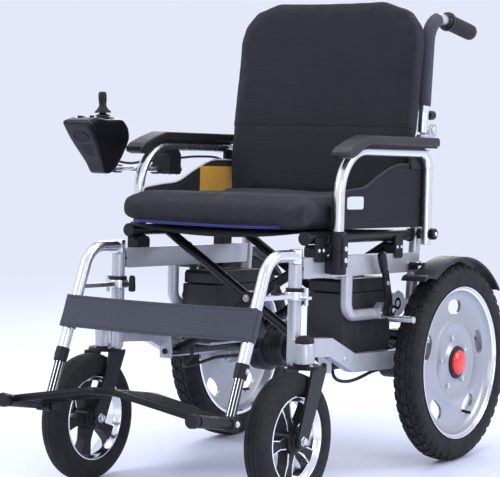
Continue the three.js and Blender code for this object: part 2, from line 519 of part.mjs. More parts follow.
// the boot turns fore and aft in the body's well, the knob turns sideways over the boot,
// both about a point STICK_Z up; the boot's dome stays inside a ball about that point
const STICK_Z = 710;
const boot = turnedZ([[STICK_Z - 7, 0], [STICK_Z - 7, 11.5], [STICK_Z + 8, 12.5], [STICK_Z + 12.4, 12.5], [STICK_Z + 15.5, 8.5], [STICK_Z + 17.2, 4.4], [STICK_Z + 17.8, 0]], 12).translate(-265, -462, 0);
add(frame, 'joystick_boot', upright(boot), RUBBER, toFrame([-265, -462, STICK_Z]));
const knob = turnedZ([[728.2, 0], [728.2, 4.2], [741, 4.2], [744, 9], [748, 12], [755, 13.2], [762, 12.5], [767, 9.5], [770, 4], [770.6, 0]], 12).translate(-265, -462, 0);
add(frame, 'joystick_knob', upright(knob), BLACK, toFrame([-265, -462, STICK_Z]));
add(frame, 'power_button', upright(bar([-255, -510, 713.4], [-255, -510, 724], 4.8)), RED, toFrame([-255, -510, 718]));
add(frame, 'speed_rocker', upright(plate(-286.6, -277, [[-517, 714], [-503, 714], [-503, 721.5], [-510, 722.6], [-517, 723.8]])), SATIN, toFrame([-281.8, -510, 718]));

// ---- seat, back and calf strap ----------------------------------------------
const cushionOutline = [[-SEAT_HALF + 8, SEAT_LO], [SEAT_HALF - 8, SEAT_LO], [SEAT_HALF, SEAT_LO + 10], [SEAT_HALF, SEAT_HI - 16], [SEAT_HALF - 20, SEAT_HI - 4], [SEAT_HALF - 60, SEAT_HI],
  [-SEAT_HALF + 60, SEAT_HI], [-SEAT_HALF + 20, SEAT_HI - 4], [-SEAT_HALF, SEAT_HI - 16], [-SEAT_HALF, SEAT_LO + 10]];
const cushion = new THREE.ExtrudeGeometry(new THREE.Shape(cushionOutline.map(([x, v]) => new THREE.Vector2(x, v))), { depth: 394, bevelEnabled: false })
  .applyMatrix4(new THREE.Matrix4().set(1, 0, 0, 0, 0, 0, -1, -96, 0, 1, 0, 0, 0, 0, 0, 1));
add(frame, 'seat_cushion', cushion, FABRIC, [0, -293, 511]);

// back pad outline across, extruded through its thickness, leaning with the canes
const PAD_A = [-85, 646], PAD_B = [-56, 863];
const padLean = Math.atan2(PAD_B[0] - PAD_A[0], PAD_B[1] - PAD_A[1]);
const padSlab = (pts, t) => new THREE.ExtrudeGeometry(new THREE.Shape(pts.map(([x, v]) => new THREE.Vector2(x, v))), { depth: t, bevelEnabled: false })
  .translate(0, 0, -t / 2)
  .applyMatrix4(new THREE.Matrix4().set(1, 0, 0, 0, 0, 0, -1, 0, 0, 1, 0, 0, 0, 0, 0, 1))   // (x, v, t) -> (x, -t, v)
  .rotateX(-padLean).translate(0, PAD_A[0], PAD_A[1]);
const W = 219, TOP = 302;
const upper = [[-W, 38.5], [W, 38.5], [W, TOP - 86], [W - 9, TOP - 50], [W - 34, TOP - 20], [W - 88, TOP], [-W + 88, TOP], [-W + 34, TOP - 20], [-W + 9, TOP - 50], [-W, TOP - 86]];
const lower = [[-W + 14, -96], [W - 14, -96], [W - 6, -60], [W, 34.5], [-W, 34.5], [-W + 6, -60]];
add(frame, 'back_pad_upper', padSlab(upper, 56), FABRIC, [0, PAD_B[0], 790]);
add(frame, 'back_pad_lower', padSlab(lower, 56), FABRIC, [0, PAD_A[0], 620]);

const strapMid = [LEG_END[0] + legDir.x * -98, LEG_END[1] + legDir.y * -98];
const nrm = [legDir.y, -legDir.x];
const front = nrm[0] < 0 ? nrm : [-nrm[0], -nrm[1]];
const strapPts = (d0, d1) => [
  [strapMid[0] + front[0] * d0 - legDir.x * 32, strapMid[1] + front[1] * d0 - legDir.y * 32],
  [strapMid[0] + front[0] * d1 - legDir.x * 32, strapMid[1] + front[1] * d1 - legDir.y * 32],
  [strapMid[0] + front[0] * d1 + legDir.x * 32, strapMid[1] + front[1] * d1 + legDir.y * 32],
  [strapMid[0] + front[0] * d0 + legDir.x * 32, strapMid[1] + front[1] * d0 + legDir.y * 32],
];
const ccw = (p) => (THREE.ShapeUtils.area(p.map((q) => new THREE.Vector2(...q))) > 0 ? p : p.slice().reverse());
add(frame, 'calf_strap', plate(-224, 224, ccw(strapPts(12.3, 15.3))), STRAP, [0, ...strapMid]);

// ---- leads -----------------------------------------------------------------
function lead(points, r, steps, sides = 8) {
  const curve = new THREE.CatmullRomCurve3(points.map((p) => new THREE.Vector3(...p)), false, 'centripetal');
  const shape = new THREE.Shape();
  for (let i = 0; i < sides; i++) {
    const a = 2 * Math.PI * i / sides;
    (i ? shape.lineTo : shape.moveTo).call(shape, r * Math.cos(a), r * Math.sin(a));
  }
  shape.closePath();
  return new THREE.ExtrudeGeometry(shape, { steps, extrudePath: curve });
}
// power lead: out of the battery box, under the lower rail, up to the motor
const motorLead = lead([
  [170, -295, 232.9], [170, -295, 222], [171, -296, 207], [176, -302, 193], [184, -305, 184.5], [191, -298, 179.5], [196, -280, 177.5],
  [196, -250, 179], [195, -215, 184], [192, -180, 189], [186, -140, 190], [177, -95, 190], [171, -68, 194], [169, -53.4, 200],
], 3.5, 20);
pair(frame, 'motor_cable', motorLead, RUBBER);
// control lead: from the controller along the armrest to its rear clip
const controlLead = lead([
  [-292, -446.5, 618], [-292, -436, 612], [-290, -420, 604], [-286, -400, 600], [-280, -380, 598], [-282, -350, 600], [-284, -320, 603], [-284, -290, 604], [-283, -250, 606],
  [-276, -220, 610], [-262, -190, 614], [-257, -150, 615], [-256, -110, 614], [-256, -80, 608], [-256, -74, 600], [-256, -74, 580],
], 2.5, 22);
add(frame, 'controller_cable', controlLead, RUBBER);

export default chair;
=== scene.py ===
import json
import math
import bpy
import bmesh
from mathutils import Vector, Matrix

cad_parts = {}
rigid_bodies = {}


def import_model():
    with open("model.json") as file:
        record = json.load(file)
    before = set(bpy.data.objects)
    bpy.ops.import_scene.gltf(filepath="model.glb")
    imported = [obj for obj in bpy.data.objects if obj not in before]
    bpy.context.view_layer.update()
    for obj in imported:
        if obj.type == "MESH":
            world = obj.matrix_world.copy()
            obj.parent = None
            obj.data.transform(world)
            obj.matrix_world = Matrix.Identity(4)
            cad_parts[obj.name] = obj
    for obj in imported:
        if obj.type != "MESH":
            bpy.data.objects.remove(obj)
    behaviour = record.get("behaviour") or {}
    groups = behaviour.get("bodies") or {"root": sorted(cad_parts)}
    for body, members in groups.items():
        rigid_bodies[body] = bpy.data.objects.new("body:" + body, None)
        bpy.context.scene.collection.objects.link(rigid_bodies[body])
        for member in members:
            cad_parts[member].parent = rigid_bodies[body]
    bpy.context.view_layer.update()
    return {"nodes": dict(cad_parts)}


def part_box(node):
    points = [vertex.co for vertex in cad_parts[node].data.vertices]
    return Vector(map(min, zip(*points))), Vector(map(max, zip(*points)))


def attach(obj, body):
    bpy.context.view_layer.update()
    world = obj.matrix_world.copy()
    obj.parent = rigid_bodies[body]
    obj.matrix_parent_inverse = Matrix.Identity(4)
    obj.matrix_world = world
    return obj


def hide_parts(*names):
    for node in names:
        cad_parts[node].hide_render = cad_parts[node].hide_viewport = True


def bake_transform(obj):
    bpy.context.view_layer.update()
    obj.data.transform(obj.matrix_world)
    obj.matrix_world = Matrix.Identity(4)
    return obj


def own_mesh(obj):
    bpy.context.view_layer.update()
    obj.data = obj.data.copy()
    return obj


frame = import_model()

rad, cos, sin, pi = math.radians, math.cos, math.sin, math.pi

# ------------------------------------------------------------------ coordinates
# W: the leaning frame's own coordinates (x, u, v) in mm.  R: upright (x, y, z) in mm.
# Both have their y = 0 on the rear axle, SHIFT mm behind the row's origin.
SHIFT, RAKE = 314.67, rad(3.5)
CR, SR = cos(RAKE), sin(RAKE)


def W(p):
    x, u, v = p
    return Vector((x, u * CR + (v - 203) * SR + SHIFT, -u * SR + (v - 203) * CR + 203)) / 1000


def R(p):
    x, y, z = p
    return Vector((x, y + SHIFT, z)) / 1000


# ------------------------------------------------------------------ camera, light, floor
cam_data = bpy.data.cameras.new("camera")
cam_data.lens = 148.09
cam_data.sensor_width = 36.0
cam_data.shift_x = -0.0028
cam_data.shift_y = -0.0008
cam_data.clip_end = 200
cam = bpy.data.objects.new("camera", cam_data)
bpy.context.scene.collection.objects.link(cam)
r_, u_, f_ = Vector((0.8290104, 0.5591523, -0.0095057)), Vector((-0.0434005, 0.0812744, 0.9957464)), Vector((-0.5575465, 0.8250716, -0.0916449))
cam.matrix_world = Matrix(((r_.x, u_.x, -f_.x, 2.299146), (r_.y, u_.y, -f_.y, -3.412643), (r_.z, u_.z, -f_.z, 0.852831), (0, 0, 0, 1)))
bpy.context.scene.camera = cam
bpy.context.scene.view_settings.view_transform = "Standard"
bpy.context.scene.view_settings.look = "None"

BACK = (0.775, 0.81, 0.955)
world = bpy.data.worlds.new("studio")
bpy.context.scene.world = world
world.use_nodes = True
wn, wl = world.node_tree.nodes, world.node_tree.links
bg = wn["Background"]
bg.inputs["Color"].default_value = (*BACK, 1)
bg.inputs["Strength"].default_value = 1.0


def area(name, loc, target, size, power, color=(1, 1, 1), sy=None):
    d = bpy.data.lights.new(name, "AREA")
    d.energy = power
    d.color = color
    d.shape = "RECTANGLE"
    d.size = size
    d.size_y = sy or size
    o = bpy.data.objects.new(name, d)
    o.location = loc
    o.rotation_euler = (Vector(target) - Vector(loc)).to_track_quat("-Z", "Y").to_euler()
    bpy.context.scene.collection.objects.link(o)
    return o


area("key", (-1.9, -2.8, 3.0), (0, -0.1, 0.5), 1.8, 62, (1.0, 0.99, 0.97))
area("rim", (2.9, 1.2, 1.9), (0, 0, 0.6), 1.6, 40, (0.95, 0.97, 1.0))
area("front", (2.6, -2.2, 1.2), (0.1, -0.1, 0.4), 1.3, 16, (1.0, 1.0, 1.0), 1.8)
area("top", (0, 0.3, 3.6), (0, 0, 0.3), 2.6, 52, (1, 1, 1))
area("back", (-1.6, 2.8, 1.8), (0, 0.1, 0.5), 1.4, 24, (1, 1, 1))

# ------------------------------------------------------------------ materials
MATS = {}


class Nodes:
    """A small hand for building a node tree on object coordinates."""

    def __init__(self, name):
        self.mat = bpy.data.materials.new(name)
        self.mat.use_nodes = True
        self.n, self.l = self.mat.node_tree.nodes, self.mat.node_tree.links
        self.b = self.n["Principled BSDF"]
        self.tc = self.n.new("ShaderNodeTexCoord").outputs["Object"]

    def noise(self, scale, detail=3.0, rough=0.5, stretch=None):
        t = self.n.new("ShaderNodeTexNoise")
        t.inputs["Scale"].default_value = scale
        t.inputs["Detail"].default_value = detail
        t.inputs["Roughness"].default_value = rough
        if stretch:
            m = self.n.new("ShaderNodeMapping")
            m.inputs["Scale"].default_value = stretch
            self.l.new(self.tc, m.inputs["Vector"])
            self.l.new(m.outputs["Vector"], t.inputs["Vector"])
        else:
            self.l.new(self.tc, t.inputs["Vector"])
        return t.outputs["Fac"]

    def voronoi(self, scale):
        t = self.n.new("ShaderNodeTexVoronoi")
        t.feature = "F1"
        t.inputs["Scale"].default_value = scale
        self.l.new(self.tc, t.inputs["Vector"])
        return t.outputs["Distance"]

    def math(self, op, a, b=None):
        m = self.n.new("ShaderNodeMath")
        m.operation = op
        for i, x in enumerate((a, b)):
            if x is None:
                continue
            if isinstance(x, (int, float)):
                m.inputs[i].default_value = x
            else:
                self.l.new(x, m.inputs[i])
        return m.outputs[0]

    def ramp(self, fac, stops):
        r = self.n.new("ShaderNodeValToRGB")
        e = r.color_ramp.elements
        while len(e) < len(stops):
            e.new(0.5)
        for el, (p, c) in zip(e, stops):
            el.position = p
            el.color = (*c, 1)
        self.l.new(fac, r.inputs["Fac"])
        return r.outputs["Color"]

    def span(self, fac, lo, hi, a=0.3, b=0.7):
        m = self.n.new("ShaderNodeMapRange")
        m.inputs["From Min"].default_value = a
        m.inputs["From Max"].default_value = b
        m.inputs["To Min"].default_value = lo
        m.inputs["To Max"].default_value = hi
        self.l.new(fac, m.inputs["Value"])
        return m.outputs["Result"]

    def bump(self, height, strength=0.3, distance=0.001):
        bn = self.n.new("ShaderNodeBump")
        bn.inputs["Strength"].default_value = strength
        bn.inputs["Distance"].default_value = distance
        self.l.new(height, bn.inputs["Height"])
        self.l.new(bn.outputs["Normal"], self.b.inputs["Normal"])

    def weave(self, pitch):
        s = self.n.new("ShaderNodeSeparateXYZ")
        self.l.new(self.tc, s.inputs[0])
        k = 2 * pi / pitch
        w = [self.math("SINE", self.math("MULTIPLY", s.outputs[i], k)) for i in range(3)]
        a = self.math("MULTIPLY", w[0], w[2])
        b = self.math("MULTIPLY", w[0], w[1])
        c = self.math("MULTIPLY", w[1], w[2])
        return self.math("ADD", self.math("ADD", a, b), c)


def tone(c, k):
    return tuple(max(0.0, min(1.0, x * k)) for x in c)


def finish_mat(name, base, rough, metal=0.0, vary=0.1, vscale=25, rvary=0.06, grain=0.0, gscale=900, coat=0.0, kind="noise", sheen=0.0, stretch=None, spec=0.5, wear=None):
    N = Nodes(name)
    f = N.noise(vscale, 4, 0.55, stretch)
    stops = [(0.28, tone(base, 1 - vary)), (0.5, base), (0.74, tone(base, 1 + vary))]
    N.l.new(N.ramp(f, stops), N.b.inputs["Base Color"])
    N.l.new(N.span(N.noise(vscale * 3.1, 3), max(0.02, rough - rvary), min(1, rough + rvary)), N.b.inputs["Roughness"])
    N.b.inputs["Metallic"].default_value = metal
    N.b.inputs["Specular IOR Level"].default_value = spec
    if coat:
        N.b.inputs["Coat Weight"].default_value = coat
        N.b.inputs["Coat Roughness"].default_value = 0.12
    if sheen:
        N.b.inputs["Sheen Weight"].default_value = sheen
        N.b.inputs["Sheen Roughness"].default_value = 0.5
        N.b.inputs["Sheen Tint"].default_value = (0.75, 0.78, 0.9, 1)
    if grain:
        h = {"noise": lambda: N.noise(gscale, 2), "leather": lambda: N.voronoi(gscale), "weave": lambda: N.weave(gscale)}[kind]()
        N.bump(h, 0.6, grain)
    MATS[name] = N.mat
    return N.mat


def fabric(name, base, pitch, vary=0.16, sheen=0.25, depth=0.0004):
    N = Nodes(name)
    h = N.weave(pitch)
    cloud = N.noise(9, 5, 0.6)
    fuzz = N.noise(420, 2)
    mixed = N.math("ADD", N.math("MULTIPLY", N.span(h, 0, 1, -1.5, 1.5), 0.35), N.math("ADD", N.math("MULTIPLY", cloud, 0.45), N.math("MULTIPLY", fuzz, 0.2)))
    N.l.new(N.ramp(mixed, [(0.25, tone(base, 1 - vary)), (0.5, base), (0.75, tone(base, 1 + vary))]), N.b.inputs["Base Color"])
    N.l.new(N.span(fuzz, 0.78, 0.95), N.b.inputs["Roughness"])
    N.b.inputs["Specular IOR Level"].default_value = 0.25
    N.b.inputs["Sheen Weight"].default_value = sheen
    N.b.inputs["Sheen Roughness"].default_value = 0.45
    N.b.inputs["Sheen Tint"].default_value = (0.7, 0.74, 0.9, 1)
    N.bump(N.math("ADD", h, N.math("MULTIPLY", fuzz, 1.2)), 0.7, depth)
    MATS[name] = N.mat
    return N.mat


SILVER = finish_mat("silver_paint", (0.50, 0.515, 0.555), 0.34, 0.55, 0.05, 60, 0.05, 0.00006, 1400, coat=0.25)
BRIGHT = finish_mat("bright_tube", (0.80, 0.815, 0.84), 0.24, 1.0, 0.03, 30, 0.04)
STEEL = finish_mat("bolt_steel", (0.66, 0.67, 0.70), 0.26, 1.0, 0.08, 120, 0.08)
BLACKP = finish_mat("black_powder", (0.009, 0.009, 0.011), 0.32, 0.0, 0.25, 30, 0.08, 0.00008, 1300, coat=0.04, spec=0.28)
PLASTIC = finish_mat("black_plastic", (0.012, 0.012, 0.0145), 0.44, 0.0, 0.2, 25, 0.06, 0.00012, 1100, spec=0.24)
GLOSS = finish_mat("gloss_black", (0.007, 0.007, 0.009), 0.2, 0.0, 0.2, 18, 0.05, 0.00003, 700, coat=0.12, spec=0.24)
FENDM = finish_mat("fender_satin", (0.014, 0.014, 0.017), 0.42, 0.0, 0.15, 12, 0.05, 0.00005, 900, spec=0.32)
RUBBER = finish_mat("tyre_rubber", (0.012, 0.012, 0.0135), 0.7, 0.0, 0.35, 22, 0.1, 0.00016, 800, spec=0.28)
GRIPR = finish_mat("grip_rubber", (0.022, 0.022, 0.026), 0.6, 0.0, 0.2, 40, 0.08, 0.0001, 900)
WHEEL = finish_mat("wheel_silver", (0.40, 0.41, 0.44), 0.36, 0.6, 0.03, 5, 0.06, 0.00006, 900, coat=0.3)
POLISH = finish_mat("polished_edge", (0.86, 0.87, 0.89), 0.12, 1.0, 0.03, 60, 0.04)
RED = finish_mat("red_cap", (0.80, 0.035, 0.035), 0.26, 0.0, 0.06, 40, 0.05, 0.00003, 900, coat=0.4)
BATT = finish_mat("battery_case", (0.014, 0.014, 0.017), 0.5, 0.0, 0.25, 15, 0.08, 0.0002, 700)
MOTORM = finish_mat("motor_case", (0.035, 0.036, 0.04), 0.42, 0.4, 0.2, 30, 0.08, 0.0001, 900)
VINYL = finish_mat("pad_vinyl", (0.011, 0.011, 0.013), 0.42, 0.0, 0.2, 20, 0.06, 0.00035, 520, kind="leather")
AMBER = finish_mat("amber_panel", (0.80, 0.43, 0.07), 0.45, 0.0, 0.05, 50, 0.04, 0.00003, 900)
# pale print colour for the left guard's patch; also a painted highlight on the right guard's piping
PRINT_AND_PAINTED_HIGHLIGHT = finish_mat("pale_print", (0.62, 0.64, 0.68), 0.5, 0.0, 0.05, 80, 0.05)
LED = finish_mat("pale_lens", (0.35, 0.5, 0.42), 0.15, 0.0, 0.1, 300, 0.02)
PIPING = fabric("blue_piping", (0.022, 0.020, 0.19), 0.0011, 0.2, 0.3, 0.0002)
SEATF = fabric("seat_fabric", (0.023, 0.0235, 0.028), 0.0021, 0.22, 0.12, 0.0005)
BACKF = fabric("back_fabric", (0.017, 0.018, 0.024), 0.0021, 0.2, 0.10, 0.0005)
GUARDF = fabric("guard_fabric", (0.009, 0.009, 0.012), 0.0013, 0.25, 0.14, 0.0003)
WEBF = fabric("strap_webbing", (0.060, 0.063, 0.082), 0.0016, 0.16, 0.2, 0.0004)
THREAD = fabric("thread", (0.03, 0.031, 0.038), 0.0006, 0.2, 0.2, 0.0001)
DARKHOLE = finish_mat("socket_dark", (0.008, 0.008, 0.01), 0.7, 0.0, 0.2, 60, 0.05)

# floor: pale, fading into the studio's own tone a few metres out
bm = bmesh.new()
rings = [0.0, 0.6, 1.2, 2.0, 3.0, 4.5, 7.0, 12.0, 40.0]
prev = [bm.verts.new((0, 0, 0))]
for rr in rings[1:]:
    cur = [bm.verts.new((rr * cos(2 * pi * i / 64), rr * sin(2 * pi * i / 64), 0)) for i in range(64)]
    for i in range(64):
        j = (i + 1) % 64
        if len(prev) == 1:
            bm.faces.new((prev[0], cur[i], cur[j]))
        else:
            bm.faces.new((prev[i], cur[i], cur[j], prev[j]))
    prev = cur
me = bpy.data.meshes.new("floor")
bm.to_mesh(me)
bm.free()
floor = bpy.data.objects.new("floor", me)
floor.location = (0, 0, -0.0006)
bpy.context.scene.collection.objects.link(floor)
N = Nodes("floor_pale")
N.l.new(N.ramp(N.noise(1.2, 2), [(0.3, (0.72, 0.755, 0.90)), (0.7, (0.745, 0.78, 0.92))]), N.b.inputs["Base Color"])
N.b.inputs["Roughness"].default_value = 0.6
N.b.inputs["Specular IOR Level"].default_value = 0.15
em = N.n.new("ShaderNodeEmission")
em.inputs["Color"].default_value = (*BACK, 1)
mix = N.n.new("ShaderNodeMixShader")
ln = N.n.new("ShaderNodeVectorMath")
ln.operation = "LENGTH"
N.l.new(N.tc, ln.inputs[0])
sm = N.n.new("ShaderNodeMapRange")
sm.interpolation_type = "SMOOTHSTEP"
sm.inputs["From Min"].default_value = 0.9
sm.inputs["From Max"].default_value = 4.2
N.l.new(ln.outputs["Value"], sm.inputs["Value"])
N.l.new(sm.outputs["Result"], mix.inputs["Fac"])
N.l.new(N.b.outputs["BSDF"], mix.inputs[1])
N.l.new(em.outputs["Emission"], mix.inputs[2])
N.l.new(mix.outputs["Shader"], N.n["Material Output"].inputs["Surface"])
floor.data.materials.append(N.mat)


# ------------------------------------------------------------------ mesh tools (mm)
def V(p):
    return Vector(p)


def route(corners, steps=10):
    """A polyline through corners (x, y, z[, fillet])."""
    P = [Vector(c[:3]) for c in corners]
    out = [P[0]]
    for i in range(1, len(P) - 1):
        rr = corners[i][3] if len(corners[i]) > 3 else 0
        a, b = (P[i - 1] - P[i]).normalized(), (P[i + 1] - P[i]).normalized()
        half = a.angle(b) / 2
        if not rr or half > 1.55:
            out.append(P[i])
            continue
        t = rr / math.tan(half)
        c = P[i] + (a + b).normalized() * (rr / sin(half))
        s, e = P[i] + a * t - c, P[i] + b * t - c
        ax, sweep = s.cross(e).normalized(), s.angle(e)
        for k in range(steps + 1):
            out.append(c + Matrix.Rotation(sweep * k / steps, 3, ax) @ s)
    out.append(P[-1])
    return out


def smooth_line(points, n=8):
    """Catmull-Rom through points."""
    P = [Vector(p) for p in points]
    P = [P[0] * 2 - P[1]] + P + [P[-1] * 2 - P[-2]]
    out = []
    for i in range(1, len(P) - 2):
        for k in range(n):
            t = k / n
            a, b, c, d = P[i - 1], P[i], P[i + 1], P[i + 2]
            out.append(0.5 * ((2 * b) + (c - a) * t + (2 * a - 5 * b + 4 * c - d) * t * t + (3 * b - a - 3 * c + d) * t ** 3))
    out.append(P[-2])
    return out


def rounded(poly, r, n=4):
    """Polygon corners rounded to radius r (or as much as fits)."""
    out = []
    m = len(poly)
    for i in range(m):
        p0, p1, p2 = Vector(poly[i - 1]), Vector(poly[i]), Vector(poly[(i + 1) % m])
        a, b = p0 - p1, p2 - p1
        half = a.angle(b) / 2
        if half > 1.5:
            out.append(tuple(p1))
            continue
        t = min(r / math.tan(half), a.length * 0.45, b.length * 0.45)
        s, e = p1 + a.normalized() * t, p1 + b.normalized() * t
        for k in range(n + 1):
            q = k / n
            out.append(tuple((1 - q) ** 2 * s + 2 * q * (1 - q) * p1 + q * q * e))
    return out


class Geo:
    def __init__(self):
        self.v, self.f, self.m, self.k = [], [], [], 0

    def add(self, verts, faces, mat=None):
        b = len(self.v)
        self.v += [Vector(p) for p in verts]
        self.f += [[i + b for i in f] for f in faces]
        self.m += [self.k if mat is None else mat] * len(faces)
        return self

    def use(self, k):
        self.k = k
        return self

    def tube(self, pts, r, n=24, cap=True, soft=0.6, section=None, closed=False):
        P = [Vector(p) for p in pts]
        m = len(P)
        T = []
        for i in range(m):
            if closed:
                t = (P[(i + 1) % m] - P[i - 1])
            else:
                t = (P[min(i + 1, m - 1)] - P[max(i - 1, 0)])
            T.append(t.normalized())
        ref = Vector((0, 0, 1)) if abs(T[0].z) < 0.9 else Vector((0, 1, 0))
        nrm = (ref - T[0] * ref.dot(T[0])).normalized()
        rows, radii = [], []
        for i in range(m):
            nrm = (nrm - T[i] * nrm.dot(T[i])).normalized()
            bi = T[i].cross(nrm)
            rows.append((P[i], nrm.copy(), bi))
            radii.append(r[i] if isinstance(r, (list, tuple)) else r)
        ring = []
        if cap and not closed and soft:
            a = min(soft, radii[0] * 0.5, (P[1] - P[0]).length * 0.4)
            b = min(soft, radii[-1] * 0.5, (P[-1] - P[-2]).length * 0.4)
            rows = [rows[0]] + [(P[0] + T[0] * a, rows[0][1], rows[0][2])] + rows[1:-1] + [(P[-1] - T[-1] * b, rows[-1][1], rows[-1][2])] + [rows[-1]]
            radii = [radii[0] - a] + [radii[0]] + radii[1:-1] + [radii[-1]] + [radii[-1] - b]
        verts, faces = [], []
        sec = section or [1.0] * n
        n = len(sec)
        for (c, e1, e2), q in zip(rows, radii):
            for i in range(n):
                t = 2 * pi * i / n
                verts.append(c + (e1 * cos(t) + e2 * sin(t)) * q * sec[i])
        L = len(rows)
        for j in range(L if closed else L - 1):
            for i in range(n):
                a, b = j * n + i, j * n + (i + 1) % n
                c, d = ((j + 1) % L) * n + (i + 1) % n, ((j + 1) % L) * n + i
                faces.append([a, b, c, d])
        if cap and not closed:
            faces.append(list(range(n))[::-1])
            faces.append([(L - 1) * n + i for i in range(n)])
        return self.add(verts, faces)

    def bar(self, a, b, r, n=20, soft=0.6, r2=None):
        A, B = Vector(a), Vector(b)
        return self.tube([A, A.lerp(B, 0.5), B], [r, (r + (r2 or r)) / 2, r2 or r], n, True, soft)

    def lathe(self, prof, o=(0, 0, 0), ax=(1, 0, 0), n=48, loop=False, arc=None):
        """prof: (distance along ax from o, radius). loop: the profile closes on itself."""
        ax = Vector(ax).normalized()
        e1 = (Vector((0, 0, 1)) if abs(ax.z) < 0.9 else Vector((0, 1, 0)))
        e1 = (e1 - ax * e1.dot(ax)).normalized()
        e2 = ax.cross(e1)
        o = Vector(o)
        verts, faces, idx = [], [], []
        for a, rr in prof:
            if rr < 1e-6:
                idx.append([len(verts)] * n)
                verts.append(o + ax * a)
            else:
                idx.append(list(range(len(verts), len(verts) + n)))
                verts += [o + ax * a + (e1 * cos(2 * pi * i / n) + e2 * sin(2 * pi * i / n)) * rr for i in range(n)]
        L = len(prof)
        for j in range(L if loop else L - 1):
            p, q = idx[j], idx[(j + 1) % L]
            for i in range(n):
                k = (i + 1) % n
                f = [p[i], p[k], q[k], q[i]]
                g = []
                for x in f:
                    if x not in g:
                        g.append(x)
                if len(g) > 2:
                    faces.append(g)
        return self.add(verts, faces)

    def prism(self, poly, a, b, axis="x", mat=None):
        """poly in the other two axes, extruded from a to b along axis."""
        put = {"x": lambda p, t: (t, p[0], p[1]), "y": lambda p, t: (p[0], t, p[1]), "z": lambda p, t: (p[0], p[1], t)}[axis]
        n = len(poly)
        verts = [put(p, a) for p in poly] + [put(p, b) for p in poly]
        faces = [list(range(n)), [n + i for i in range(n)][::-1]] + [[i, (i + 1) % n, n + (i + 1) % n, n + i][::-1] for i in range(n)]
        return self.add(verts, faces, mat)

    def ringplate(self, o, ax, r0, r1, t, n=32):
        return self.lathe([(0, r0), (0, r1 - 0.5), (0.5, r1), (t - 0.5, r1), (t, r1 - 0.5), (t, r0)], o, ax, n, loop=True)

    def box(self, lo, hi, r=0):
        x0, y0, z0 = lo
        x1, y1, z1 = hi
        p = [(y0, z0), (y1, z0), (y1, z1), (y0, z1)]
        return self.prism(rounded(p, r, 4) if r else p, x0, x1)

    def bolt(self, o, ax, r=5, h=3, hexed=True):
        """A domed screw head with a socket, or a hex head."""
        o, ax = Vector(o), Vector(ax).normalized()
        if hexed:
            self.lathe([(-1, r * 0.6), (0, r * 1.25), (0.7, r * 1.25), (0.7, r)], o, ax, 24)
            self.lathe([(0.5, 0), (0.5, r * 1.0), (h - 0.5, r * 1.0), (h, r * 0.86), (h, 0)], o, ax, 6)
        else:
            self.lathe([(-1, r * 0.5), (0, r), (h * 0.5, r * 0.95), (h * 0.85, r * 0.75), (h, r * 0.45), (h * 0.45, r * 0.4), (h * 0.45, 0)], o, ax, 20)
        return self


ALL = {}


def build(name, geo, mats, body, put=W, g=1, pre=None, rep=(), bevel=0.0, ang=34, seg=2, smooth=True, weld=False):
    verts = []
    for p in geo.v:
        q = pre(p) if pre else p
        verts.append(put((g * q[0], q[1], q[2])))
    me = bpy.data.meshes.new(name)
    me.from_pydata(verts, [], geo.f)
    me.validate()
    me.update()
    bm = bmesh.new()
    bm.from_mesh(me)
    if weld:
        bmesh.ops.remove_doubles(bm, verts=bm.verts, dist=1e-6)
    bmesh.ops.recalc_face_normals(bm, faces=bm.faces)
    bm.to_mesh(me)
    bm.free()
    for m in (mats if isinstance(mats, (list, tuple)) else [mats]):
        me.materials.append(m)
    if len(me.polygons) == len(geo.m):
        me.polygons.foreach_set("material_index", geo.m)
    if smooth:
        me.polygons.foreach_set("use_smooth", [True] * len(me.polygons))
        me.set_sharp_from_angle(angle=rad(ang))
    ob = bpy.data.objects.new(name, me)
    bpy.context.scene.collection.objects.link(ob)
    if bevel:
        b = ob.modifiers.new("edge", "BEVEL")
        b.width = bevel / 1000
        b.segments = seg
        b.limit_method = "ANGLE"
        b.angle_limit = rad(38)
        b.harden_normals = True
    if body:
        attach(ob, body)
    if rep:
        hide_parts(*rep)
    ALL[name] = ob
    return ob


def baked(ob):
    """Applies the modifiers of ob to its mesh."""
    bpy.context.view_layer.update()
    dg = bpy.context.evaluated_depsgraph_get()
    new = bpy.data.meshes.new_from_object(ob.evaluated_get(dg), depsgraph=dg)
    old = ob.data
    ob.modifiers.clear()
    ob.data = new
    bpy.data.meshes.remove(old)
    return ob


def cut_with(ob, cutter_geo, put=W, g=1, pre=None):
    c = build(ob.name + "_cutter", cutter_geo, [], None, put, g, pre, smooth=False)
    b = ob.modifiers.new("cut", "BOOLEAN")
    b.operation = "DIFFERENCE"
    b.solver = "EXACT"
    b.object = c
    baked(ob)
    del ALL[c.name]
    bpy.data.objects.remove(c)
    ob.data.polygons.foreach_set("use_smooth", [True] * len(ob.data.polygons))
    ob.data.set_sharp_from_angle(angle=rad(34))
    return ob


